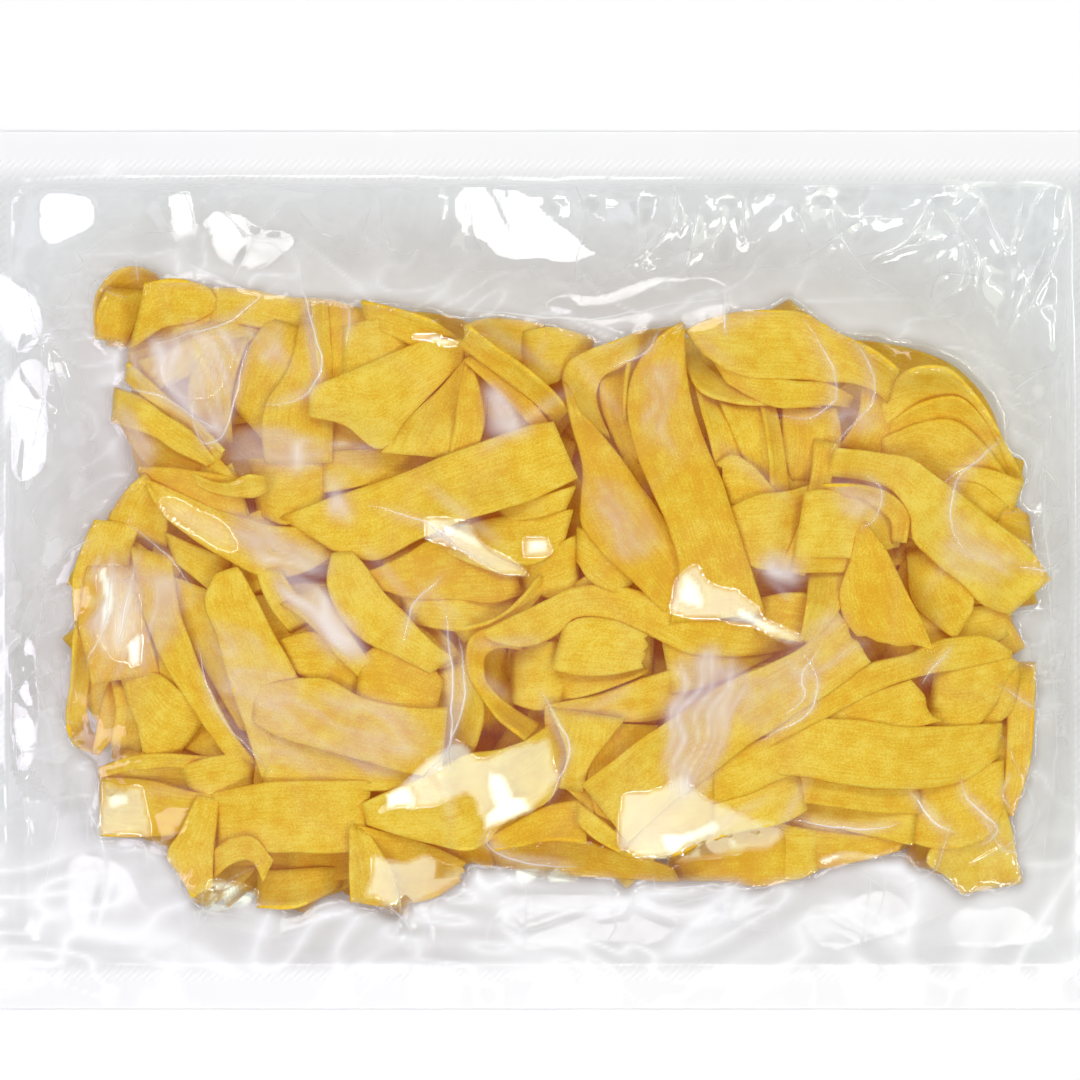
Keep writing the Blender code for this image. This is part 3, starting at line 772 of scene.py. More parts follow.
dough = {
    "light": "#ECD456",
    "middle": "#E4BF33",
    "deep": "#DDA928",
    "lightFrom": 0.62,  # tones at which the three colours stand
    "middleFrom": 0.50,
    "deepFrom": 0.40,
    "paintedGlow": "#D06A08",  # painted glow: light the dough gives off itself, in place of light that seeps through the layers
    "strengthOfPaintedGlow": 0.1,
    "roughness": 0.55,
    "refraction": 1.45,
    "gloss": 0.15,  # low, because dry dough is dusty
    "streakLength": 9.0,
    "streakWidth": 0.4,
    "cloud": 4.0,  # size of the paler and darker patches
    "grain": 0.35,
    "streakShare": 0.25,  # how much the streaks take part in the tone
    "cloudShare": 0.33,
    "grainShare": 0.42,
    "uneven": 0.1,  # how much paler or deeper one ribbon is than the next
    "bump": 0.06,
    "bumpHeight": 0.4,
}


def eggPastaMaterial():
    # Rolled and dried egg dough: fine lengthwise streaks from the rollers over a sandy body, with a painted
    # orange glow of its own.
    material = newMaterial("egg dough, rolled and dried")
    tree = material.node_tree
    place = readAttribute(tree, "ribbonPlace", "Vector")
    streakScale = (1 / dough["streakLength"], 1 / dough["streakWidth"], 1.0)
    streaks = noise(tree, vectorMaths(tree, "MULTIPLY", place, streakScale), 1.0, 3.0)
    objectPlace = addNode(tree, "ShaderNodeTexCoord").outputs["Object"]
    cloudy = noise(tree, objectPlace, 1 / (dough["cloud"] * mm), 2.0)
    grain = noise(tree, objectPlace, 1 / (dough["grain"] * mm), 2.0)
    mixed = maths(tree, "MULTIPLY", streaks, dough["streakShare"])
    mixed = maths(tree, "MULTIPLY_ADD", cloudy, dough["cloudShare"], mixed)
    mixed = maths(tree, "MULTIPLY_ADD", grain, dough["grainShare"], mixed)
    # The third number of ribbonPlace is the same all over one ribbon.
    eachRibbon = maths(tree, "ROUND", addNode(tree, "ShaderNodeSeparateXYZ", {0: place}).outputs["Z"])
    tone = addNode(tree, "ShaderNodeTexWhiteNoise", {"W": eachRibbon}, noise_dimensions="1D").outputs["Value"]
    tone = maths(tree, "SUBTRACT", tone, 0.5)
    mixed = maths(tree, "MULTIPLY_ADD", tone, dough["uneven"], mixed)
    deep = (dough["deepFrom"], linearColour(dough["deep"]))
    middle = (dough["middleFrom"], linearColour(dough["middle"]))
    light = (dough["lightFrom"], linearColour(dough["light"]))
    colour = colourRamp(tree, mixed, deep, middle, light)
    bump = addNode(tree, "ShaderNodeBump", {
        "Strength": dough["bump"],
        "Distance": dough["bumpHeight"] * mm,
        "Height": mixed,
    })
    surface = addNode(tree, "ShaderNodeBsdfPrincipled", {
        "Base Color": colour,
        "Roughness": dough["roughness"],
        "IOR": dough["refraction"],
        "Specular IOR Level": dough["gloss"],
        # Painted glow: the dough gives off a faint orange light of its own, in place of light that seeps
        # through the layers.
        "Emission Color": linearColour(dough["paintedGlow"]),
        "Emission Strength": dough["strengthOfPaintedGlow"],
        "Normal": bump.outputs["Normal"],
    })
    addNode(tree, "ShaderNodeOutputMaterial", {"Surface": surface.outputs[0]})
    return material


film = {
    "gridStep": 0.72,
    "clearance": 0.3,  # above the ribbons it lies on
    "sag": 0.0016,  # pull downwards at each pass
    "passes": 900,
    "smoothings": 8,
    "billow": 1.2,  # how far the loose film of the margins rises
    "billowLength": 17.0,
    "sway": 12.0,  # how far the pattern of folds is bent out of line
    "swayLength": 30.0,
    "wave": 1.6,  # how far the outlines of hazy and shining places waver
    "waveLength": 6.0,
    "creaseSeed": 5,
    # A painted highlight along each crease, together with its whitening.
    "creaseWhiteningAndHighlight": 0.5,
    "widthOfCreaseWhiteningAndHighlight": 1.3,
    # Facet size, and steepest slope in the margins and on the heap.
    "facets": [(15.0, 0.28, 0.02), (7.0, 0.22, 0.03), (3.4, 0.12, 0.02)],
    "facetSeed": 60,
    "nearLean": 0.12,  # how far the near margin leans towards the near side
    "tint": "#FBFCFC",
    # The film's haze is partly a painted sheen: a matt lavender-grey layer in place of a soft reflection.
    "sheenAndHazeColour": "#E2D8E0",
    # White laid on the film: painted highlights and painted light, and the whitening of seals and folds.
    "colourOfWhiteLayer": "#FDFDFD",
    "paintedSheenAndHaze": 0.035,  # painted sheen and haze all over
    "roughness": 0.05,
    "haze": 0.2,  # roughness of the softer part of the shine
    "hazeShare": 0.3,
    "tightness": 0.8,  # share of the ribbons' relief that the tight film evens out in what it mirrors
    "straightShine": 0.07,  # share of light mirrored by the two faces of a film of IOR 1.5
    "extraShine": 0.12,  # more on some facets in the margins
    "grazingShine": 0.7,
    "mirrorHeight": 20.0,  # of the places that mirror a lamp, all taken alike
    "mirrorFade": 0.35,
    "mirrorTightness": 0.85,
    "lineHalf": 0.26,  # half the width of the painted highlight line on a crease
    "lineAbove": 0.05,  # its clearance from the film
    "lineRise": 0.1,
    "lineEdge": 0.03,
    "lineStep": 0.7,
    "lineWobble": 0.4,
    "lineFrom": 0.3,  # the lowest seeded crease that has one
    "underStep": 4.0,  # grid of the lower film
    "underHeight": 0.15,
}

# Creases that are seen one by one: height and width of the rounded ridge, its whitening and painted
# highlight, and its route.
mainCreases = [
    (0.8, 1.7, 0.5, [(-53, 69), (-50, 57), (-47, 41), (-49, 38), (-58, 35)]),
    (0.4, 1.6, 0.4, [(-62, 51), (-65, 37), (-68, 28), (-71, 27), (-74, 34), (-73, 38)]),
    (1.5, 2.2, 0.5, [(-20, -8), (-18.5, -24), (-19, -42)]),
    (0.5, 1.8, 0.4, [(0, -25), (6, -38), (2, -49)]),
    (0.8, 1.5, 0.2, [(-88, 10), (-80, 4), (-73, -5)]),
    (0.5, 1.6, 0.3, [(15, 43), (23, 47), (26, 52)]),
    (0.3, 1.6, 0.5, [(79, -47), (86, -55), (89, -56.5)]),
    (0.3, 1.6, 0.5, [(90.5, -45), (91, -48), (95, -52), (98, -56), (95, -59)]),
    (0.3, 1.6, 0.4, [(103, -44), (107, -45), (106, -49), (107, -50), (103, -63)]),
    (1.0, 1.6, 0.4, [(-91, 2), (-94, -14), (-97, -20)]),
    (1.2, 2.0, 0.3, [(86, 19), (94, 24), (99, 28)]),
    (0.3, 1.6, 0.3, [(56.5, 53.5), (62, 43), (62.5, 36), (57, 32.5), (50, 33)]),
    (0.3, 1.6, 0.3, [(64.5, 51.5), (69.5, 44), (70.5, 36), (64.5, 29), (62, 25.5)]),
    (0.3, 1.6, 0.25, [(69, 20.5), (72.5, 17), (71.5, 12), (68, 9)]),
    (0.3, 1.6, 0.35, [(95.5, 25.5), (88.5, 18.5), (87.5, 12), (91, 3)]),
    (0.4, 1.6, 0.6, [(-20, 56), (-2, 54.5), (13, 54), (27, 57), (39.4, 58.5)]),
    (0.3, 1.6, 0.4, [(59.5, -16), (55.5, -22.5), (56, -26), (51.5, -31)]),
    (0.3, 1.6, 0.4, [(56, -17.5), (59, -24), (57.5, -29), (47, -36)]),
    (0.3, 1.6, 0.3, [(88, -16), (83.5, -21), (81.5, -24)]),
    (0.3, 1.6, 0.5, [(53.5, -53), (61, -54.5), (69, -55.5), (77, -54)]),
    (0.3, 1.6, 0.5, [(-10, -54), (-11.5, -57.5), (-6.5, -61.5), (8, -63.5)]),
    (0.3, 1.6, 0.3, [(-57, 61.5), (-65, 54.5), (-82, 48.5)]),
    (0.3, 1.6, 0.3, [(-93, 40), (-82, 37.5), (-69.5, 30.5)]),
    (0.3, 1.6, 0.3, [(-42, 59), (-40.5, 53), (-41.5, 48)]),
    (0.3, 1.6, 0.5, [(-86.5, 0), (-89.5, -11.5), (-91, -18)]),
    (0.3, 1.6, 0.35, [(-20.5, -1), (-27, -7.5), (-29, -15)]),
    (0.4, 1.8, 0.5, [(-17, -14), (-16, -25), (-20.5, -39), (-25, -44)]),
    (0.3, 1.6, 0.3, [(-73, -15), (-69.5, -28), (-57, -43)]),
    (0.3, 1.6, 0.3, [(-36, 14), (-24, 10), (-17, 5), (-6, -1.5)]),
    (0.7, 1.0, 0.5, [(39.4, 61), (39.4, 50)]),
    (0.9, 1.6, 0.2, [(-35, 82), (-34, 74), (-32.5, 67), (-34.5, 60)]),
    (1.1, 1.6, 0.4, [(-70, 80), (-62, 72), (-55, 72)]),
    (1.0, 1.4, 0.3, [(-62, 72), (-66, 62)]),
    (1.0, 1.4, 0.3, [(-62, 72), (-56, 80)]),
    (1.0, 1.8, 0.2, [(-84, 82), (-81, 76), (-76, 69)]),
    (1.0, 1.8, 0.2, [(-84, 82), (-78, 82), (-75, 72)]),
    (0.7, 1.3, 0.2, [(8, 84), (9.5, 76), (8, 68), (9, 58)]),
    (1.3, 2.8, 0.1, [(30, 84), (29, 76), (22, 68), (13, 62)]),
    (0.8, 1.6, 0.2, [(34.5, 79), (33, 72), (31, 66)]),
    (0.6, 1.3, 0.2, [(44, 82), (44.5, 71)]),
    (0.7, 1.2, 0.3, [(63, 82), (65, 74), (70, 66), (78, 60)]),
    (0.7, 1.2, 0.3, [(86, 81), (96, 68), (94, 57)]),
    (0.8, 1.2, 0.4, [(96, 84), (102.5, 69.5), (106, 82)]),
    (0.8, 1.4, 0.3, [(116, 76), (105, 53)]),
    (0.8, 1.4, 0.3, [(111, 72), (101, 50)]),
    (1.2, 2.6, 0.2, [(-112, 62), (-108, 40), (-113, 18)]),
    (1.2, 2.2, 0.3, [(-106, 4), (-109, -20), (-104, -45), (-108, -70)]),
    (1.0, 2.0, 0.3, [(-117, -25), (-111, -60)]),
    (0.8, 1.6, 0.3, [(-100, -44), (-94, -66), (-98, -80)]),
    (0.9, 1.6, 0.3, [(-72, -76), (-60, -80), (-44, -74)]),
    (1.0, 1.8, 0.4, [(-34, -70), (-28, -78), (-30, -84)]),
    (0.9, 1.6, 0.4, [(-18, -70), (-4, -78), (12, -72)]),
    (0.8, 1.4, 0.4, [(20, -72), (34, -78), (50, -73)]),
    (0.8, 1.4, 0.4, [(58, -72), (72, -80), (88, -74)]),
    (0.9, 1.6, 0.3, [(112, 40), (109, 10), (113, -25)]),
    (0.8, 1.4, 0.3, [(108, 0), (112, -40), (108, -70)]),
]

# Places where the film is creased and hazy, painted with a lavender sheen and white highlight streaks: how
# strong the sheen and haze are, and the corners.
sheenAndHazePlaces = [
    (0.39, [(-88, 46), (-76, 53), (-61, 52), (-66, 36), (-68, 26), (-74, 32), (-82, 37)]),
    (0.2, [(-64, 54), (-56, 52), (-52, 42), (-60, 44)]),
    (0.35, [(-93, 36), (-88, 34), (-82, 27), (-84, 20), (-90, 26)]),
    (0.31, [(-66, 28), (-58, 31), (-44, 26), (-46, 22), (-64, 22)]),
    (0.43, [(-66, 12), (-58, 10), (-46, 4), (-44, 1), (-54, 1), (-62, 4)]),
    (0.31, [(-44, 27), (-35, 26), (-35, 22), (-44, 22)]),
    (0.31, [(-46, 21), (-42, 20), (-40, 10), (-45, 12)]),
    (0.43, [(-10, 40), (-5, 34), (-1, 29), (-10, 29)]),
    (0.39, [(-56, 2), (-48, 0), (-40, -10), (-38, -18), (-46, -16), (-54, -6)]),
    (0.13, [(-71, -11), (-60, -13), (-53, -23), (-50, -28), (-42, -25),
            (-28, -30), (-22, -37), (-30, -43), (-52, -43), (-62, -40), (-68, -26)]),
    (0.24, [(-96, 3), (-86, 5), (-76, -2), (-82, -20), (-92, -24), (-96, -12)]),
    (0.36, [(30, -18), (41, -18), (45, -26), (40, -34), (35, -47), (28, -48), (25, -36)]),
    (0.15, [(44, -22), (62, -8), (70, -18), (60, -25), (46, -35), (40, -30)]),
    (0.2, [(22, 44), (28, 44), (28, 24), (23, 30)]),
    (0.15, [(10, 20), (16, 18), (26, 4), (20, 2), (12, 8)]),
    (0.15, [(61, 38), (70, 40), (72, 30), (62, 28)]),
    (0.2, [(62, 20), (72, 20), (73, 12), (66, 11)]),
    (0.15, [(88, 12), (98, 6), (104, 2), (98, -4), (86, 2)]),
    (0.39, [(46, 3), (56, 3), (54, -5), (48, -2)]),
]

# Places where the film lies flat or doubled and mirrors one lamp: the lamp, the share of light
# mirrored, whether the edges are soft, and the corners.
mirrors = [
    ("pale sheet", 0.29, True, [(-80, 46), (-66, 50), (-70, 38), (-76, 38)]),
    ("pale sheet", 0.35, True, [(-82, 17), (-68, 11), (-62, 4), (-68, 6), (-78, 12)]),
    ("pale sheet", 0.33, True, [(-94, 0), (-87, 2), (-86, -16), (-92, -20)]),
    ("pale sheet", 0.85, False, [(-27, 50), (-16, 49.3), (-18, 47.3), (-26, 47.6)]),
    ("far window", 0.05, True,
     [(0, 58), (16, 58.5), (25, 61), (39.3, 61), (39.3, 54), (30, 52), (18, 53.5), (2, 55)]),
    ("far window", 0.11, False, [(27, 61), (39.3, 61), (39.3, 56), (31, 57)]),
    ("pale sheet", 0.36, False,
     [(-25, 12), (-16, 10.5), (-8, 3), (-1, -1), (-6, -1.6), (-16, 4.5), (-25, 8)]),
    ("pale sheet", 0.36, False, [(-5, 7), (0, 7), (3, 3.5), (-4, 2)]),
    ("pale sheet", 0.38, False,
     [(27, -9.5), (29, -2.5), (34, 2), (36, -2), (43, -4), (46.5, -10.5), (56, -15), (52, -16), (44, -12)]),
    ("pale sheet", 0.85, False, [(29.5, -7), (31, -1), (33.5, -2.5), (34, -8)]),
    ("pale sheet", 0.85, False, [(-89, -16), (-85, -13), (-84, -19), (-88, -20.5)]),
    ("pale sheet", 0.85, False, [(-93.5, 0), (-92, 3), (-90.5, -6), (-92, -13), (-93.5, -8)]),
    ("pale sheet", 0.36, False,
     [(-19, -36), (-14, -38.5), (2, -37), (5, -43), (-2, -51),
      (-12, -55), (-14, -48), (-36, -52), (-30, -47)]),
    ("pale sheet", 0.85, False, [(-34, -48.5), (-27, -46), (-26, -51), (-33, -52)]),
    ("pale sheet", 0.85, False, [(-9.5, -41), (-7.4, -42), (-6.5, -49), (-8.5, -52), (-10, -49)]),
    ("pale sheet", 0.85, False, [(-7, -48), (-2.5, -47.5), (-1.5, -50), (-9, -55), (-12, -57), (-11, -53)]),
    ("pale sheet", 0.36, False,
     [(18, -48), (30, -44), (37, -47), (42, -52), (52, -55), (49, -61), (36, -62), (26, -63), (17, -60)]),
    ("pale sheet", 0.85, False, [(25.5, -57), (36, -54), (38, -56), (31, -58.5), (28, -62)]),
    ("pale sheet", 0.85, False, [(40, -56), (41, -56.5), (43.5, -60.5), (42, -60)]),
    ("pale sheet", 0.36, False, [(-36, -60), (-20, -63), (-16, -66), (-26, -71), (-38, -70)]),
    ("pale sheet", 0.36, False, [(-70, -66), (-60, -68), (-64, -74), (-76, -74)]),
    ("pale sheet", 0.33, False, [(-95, -45), (-84, -46), (-82, -56), (-95, -57)]),
    ("pale sheet", 0.85, False, [(-5, -63), (6, -64), (8, -67), (-4, -68)]),
    ("pale sheet", 0.85, False, [(-21, 9.8), (-14, 7.5), (-9, 3.5), (-15, 6.5), (-21, 8.6)]),
    ("pale sheet", 0.85, False, [(41, -6), (45.5, -10.8), (53, -14.6), (47, -13.4), (42, -10)]),
    ("pale sheet", 0.85, False, [(-3.6, 6), (0, 6), (1.2, 4), (-2.6, 3.4)]),
    ("pale sheet", 0.85, False, [(-66, -68), (-61, -68.8), (-63, -72), (-70, -73)]),
    ("pale sheet", 0.85, False, [(-93, -47), (-88, -47), (-88, -49), (-93, -50)]),
    ("pale sheet", 0.85, False, [(60, -61.5), (68, -60.5), (78, -59.2), (70, -61.6), (61, -62.6)]),
    # On the margins.
    ("far window", 0.11, False, [(-18, 83), (-3, 82), (3, 76), (14, 69), (2, 67), (-8, 69), (-16, 74)]),
    ("far window", 0.11, False, [(-82, 81), (-77, 83), (-75, 74), (-80, 72)]),
    ("far window", 0.1, True, [(-72, 78), (-62, 74), (-53, 73), (-62, 66), (-70, 68)]),
    ("left window", 0.11, True, [(-110, 80), (-99, 82), (-98, 75), (-108, 72)]),
    ("left window", 0.11, True, [(-118, 64), (-110, 60), (-108, 52), (-112, 48), (-117, 54)]),
    ("left window", 0.1, True, [(-116, 40), (-110, 46), (-108, 24), (-113, 18)]),
    ("left window", 0.11, True, [(-116, -20), (-112, -14), (-110, -36), (-114, -46)]),
    ("near strip", 0.1, True, [(-100, -62), (-90, -66), (-84, -78), (-100, -80)]),
    ("near strip", 0.11, False, [(-34, -74), (-26, -72), (-22, -80), (-30, -84)]),
    ("near strip", 0.1, True, [(-56, -75), (-42, -74), (-40, -82), (-54, -82)]),
    ("near strip", 0.1, True, [(-10, -71), (12, -71), (30, -73), (26, -80), (-6, -81)]),
    ("near strip", 0.11, False, [(30, -72), (50, -71.5), (54, -74), (34, -76)]),
    ("near strip", 0.1, True, [(58, -74), (78, -70), (82, -78), (62, -82)]),
    ("near strip", 0.11, True, [(90, -74), (104, -74), (108, -80), (92, -82)]),
]


def nearestOnRoute(x, y, route):
    # Distance to a bent line, and how far along it the nearest place is, from 0 to 1.
    points = np.array(route, float)
    lengths = np.linalg.norm(np.diff(points, axis=0), axis=1)
    start = np.concatenate([[0], np.cumsum(lengths)])
    nearest, where = np.full(x.shape, np.inf), np.zeros(x.shape)
    for k, (ax, ay) in enumerate(points[:-1]):
        dx, dy = points[k + 1] - points[k]
        t = np.clip(((x - ax) * dx + (y - ay) * dy) / (dx * dx + dy * dy), 0, 1)
        distance = np.hypot(x - ax - t * dx, y - ay - t * dy)
        closer = distance < nearest
        nearest = np.where(closer, distance, nearest)
        where = np.where(closer, (start[k] + t * lengths[k]) / start[-1], where)
    return nearest, where


def inside(x, y, corners):
    # True where a place lies within a flat outline.
    hit = np.zeros(x.shape, bool)
    for (ax, ay), (bx, by) in zip(corners, corners[1:] + corners[:1]):
        if ay != by:
            hit ^= ((ay > y) != (by > y)) & (x < ax + (y - ay) * (bx - ax) / (by - ay))
    return hit


def seededCreases(rng):
    # Fans of wrinkles from round the heap towards the seals, and a few across the heap.
    creases = []
    halfX, halfY = pack["halfLength"] - 12, pack["halfWidth"] - 12
    for turn in np.linspace(0, 2 * math.pi, 40, endpoint=False):
        turn += rng.uniform(-0.06, 0.06)
        bulge = (abs(math.cos(turn)) ** 5 + abs(math.sin(turn)) ** 5) ** (-1 / 5)
        x = heap["halfLength"] * bulge * math.cos(turn) * 0.98
        y = heap["halfWidth"] * bulge * math.sin(turn) * 0.98
        outward = math.atan2(y / heap["halfWidth"] ** 2, x / heap["halfLength"] ** 2)
        for _ in range(rng.integers(1, 4)):
            heading = outward + rng.normal(0, 0.6)
            half = rng.uniform(8, 24) / 2
            bend = rng.normal(0, 0.5)
            start = (x + rng.normal(0, 3), y + rng.normal(0, 3))
            middle = (start[0] + half * math.cos(heading), start[1] + half * math.sin(heading))
            end = (middle[0] + half * math.cos(heading + bend), middle[1] + half * math.sin(heading + bend))
            route = [(float(np.clip(px, -halfX, halfX)), float(np.clip(py, -halfY, halfY)))
                     for px, py in (start, middle, end)]
            creases.append((rng.uniform(0.3, 0.9), rng.uniform(0.8, 2.0), rng.uniform(0, 0.35), route))
    for _ in range(40):
        x, y = rng.uniform(-95, 95), rng.uniform(-60, 60)
        heading, length = rng.uniform(0, math.pi), rng.uniform(6, 22)
        route = [(x, y), (x + length * math.cos(heading), y + length * math.sin(heading))]
        creases.append((rng.uniform(0.1, 0.3), rng.uniform(1.2, 1.8), rng.uniform(0, 0.3), route))
    return creases


def facetSlopes(x, y, size, seed):
    # Crumpled film: flat facets meeting in straight creases, each with its own slope from -1 to 1.
    rng = np.random.default_rng(seed)
    jitterX, jitterY, slopeX, slopeY, shine = rng.uniform(0.05, 0.95, (5, 64, 64))
    column, row = np.floor(x / size).astype(int), np.floor(y / size).astype(int)
    nearest = np.full(x.shape, 9.0)
    foundX, foundY, foundShine = np.zeros((3, *x.shape))
    for i in range(-1, 2):
        for j in range(-1, 2):
            cell = ((row + j) % 64, (column + i) % 64)
            distance = np.hypot(x / size - column - i - jitterX[cell], y / size - row - j - jitterY[cell])
            closer = distance < nearest
            nearest = np.where(closer, distance, nearest)
            foundX = np.where(closer, slopeX[cell] * 2 - 1, foundX)
            foundY = np.where(closer, slopeY[cell] * 2 - 1, foundY)
            foundShine = np.where(closer, shine[cell] * 2 - 1, foundShine)
    return foundX, foundY, foundShine


def ridges(x, y, size, seed, power):
    # Sharp crests, 1 at their highest, in place of smooth noise.
    return (1 - np.abs(latticeNoise(x, y, size, seed))) ** power


def settledFilm(below, inPocket):
    # The film is held at the seals and sinks until it rests on what lies below.
    obstacle = np.maximum(below + film["clearance"], pack["sealHeight"])
    obstacle = np.where(inPocket, obstacle, pack["sealHeight"])
    height = obstacle.copy()
    for _ in range(film["passes"]):
        settled = sumOfNeighbours(height) / 4 - film["sag"]
        height = np.where(inPocket, np.maximum(obstacle, settled), pack["sealHeight"])
    for _ in range(film["smoothings"]):
        height = np.where(inPocket, np.maximum(obstacle, blur(height, 4)), height)
    return height


def marginPaintedLight(grid, below, margin, nearSide, bentX, bentY):
    # Painted light: white laid on the near side, and round the heap, most of all on its two long sides, where
    # it lifts the shade of the heap.
    crinkle = ridges(bentX / 2.5, bentY, 4.0, 18, 1)
    white = margin * nearSide * (0.6 + 0.35 * crinkle**2)
    sideways = np.clip(np.abs(grid.y) / heap["halfWidth"], 0, 1)
    closeBy = blur((below >= 1).astype(float), 800) * (0.6 + 0.9 * sideways**2)
    return np.maximum(white, margin * closeBy * (1.0 + 0.6 * crinkle**6))


def crumple(grid, margin, toSeal, bentX, bentY):
    # Slopes of the crumpled facets, how much more some of them mirror, and the painted highlights laid as
    # white on some facets, more towards the left and the near side.
    paintedGlintAmount = 0.6 - 0.25 * grid.x / pack["halfLength"] - 0.55 * grid.y / pack["halfWidth"]
    paintedGlintAmount = np.clip(paintedGlintAmount, 0.1, 1.2)
    slopeX, slopeY, doubled, white = np.zeros((4, *grid.x.shape))
    for number, (size, marginSlope, heapSlope) in enumerate(film["facets"]):
        foundX, foundY, foundShine = facetSlopes(bentX, bentY / 1.6, size, film["facetSeed"] + number)
        doubled = np.maximum(doubled, film["extraShine"] * margin * np.maximum(foundShine, 0))
        whiteLayer = 0.8 * margin * paintedGlintAmount * np.clip(foundShine - 0.25, 0, 1) * (toSeal > 0)
        white = np.maximum(white, whiteLayer)
        steep = np.clip(toSeal / 2, 0.15, 1) * (heapSlope + (marginSlope - heapSlope) * margin)
        slopeX, slopeY = slopeX + steep * foundX, slopeY + steep * foundY
    return [slopeX, slopeY], doubled, white


def addSheenAndHaze(paintedSheenAndHaze, white, wavyX, wavyY):
    # Hazy places painted with a lavender sheen, with painted highlight streaks along the longer way of each.
    for strength, corners in sheenAndHazePlaces:
        middle = np.mean(corners, axis=0)
        alongX, alongY = np.linalg.svd(np.array(corners) - middle)[2][0]
        along = (wavyX * alongX + wavyY * alongY) / 5
        across = wavyY * alongX - wavyX * alongY
        here = blur(inside(wavyX, wavyY, corners).astype(float), 14)
        paintedSheenAndHaze = np.maximum(paintedSheenAndHaze, strength * here * (0.45 + 0.75 * ridges(along, across, 2.6, 30, 2)))
        lines = np.maximum(ridges(along, across, 4.2, 31, 7), 0.7 * ridges(along / 2, across, 3.1, 32, 7))
        white = np.maximum(white, 1.6 * strength * blur(here * lines, 1))
    return paintedSheenAndHaze, white


def faceLamps(grid, share, slope, relief, rise, silk, wavyX, wavyY):
    # Turns each listed place to look halfway between its lamp and the camera.
    cameraPlace = np.array([camera["aside"], camera["away"], camera["height"]])
    for name, strength, soft, corners in mirrors:
        centre = np.append(np.mean(corners, axis=0), film["mirrorHeight"])
        toLamp, toCamera = lamps[name]["place"] - centre, cameraPlace - centre
        normal = toLamp / np.linalg.norm(toLamp) + toCamera / np.linalg.norm(toCamera)
        # The wave in the film bends the outline, and the shine fades towards one end.
        here = inside(wavyX, wavyY, corners).astype(float)
        away = np.hypot(grid.x - corners[0][0], grid.y - corners[0][1])
        fade = 1 - film["mirrorFade"] * np.clip(away / max(away[here > 0].max(), 1.0), 0, 1)
        here = blur(here, 30 if soft else 2)
        seen = np.minimum(np.clip(1.4 * here - 0.4, 0, 1) * fade * (silk if soft else 1), 1)
        share = share * (1 - seen) + seen * strength
        here = np.clip(here * 6 - 0.5, 0, 1)
        for k in (0, 1):
            slope[k] = slope[k] * (1 - here) + here * normal[k] / normal[2]
            relief[k] = relief[k] * (1 - here) + here * film["mirrorTightness"] * rise[k]
    # No double shine where two such places meet.
    jump = sum(np.abs(step) for step in np.gradient(slope[0]) + np.gradient(slope[1]))
    plain = film["straightShine"]
    return np.where(share > 0.1, plain + (share - plain) / (1 + (jump / 0.04) ** 2), share)


def sealWhite(grid, toSeal):
    # The knurled seals and the free edges beyond them are whitened, the two long ones more than the short
    # ones.
    inSeal = (toSeal < 0) & (toSeal > -pack["sealBand"])
    pitch = pack["knurlPitch"]
    knurl = np.sin(2 * math.pi * grid.x / pitch) * np.sin(2 * math.pi * grid.y / pitch)
    longSide = np.clip(np.abs(grid.y) - pack["halfWidth"] + pocketIn + 3, 0, 6) / 6
    sealed = blur((toSeal < 1.5).astype(float), 8) * (0.35 + 0.6 * longSide)
    return sealed * (0.9 + 0.1 * np.where(inSeal, knurl, 0))


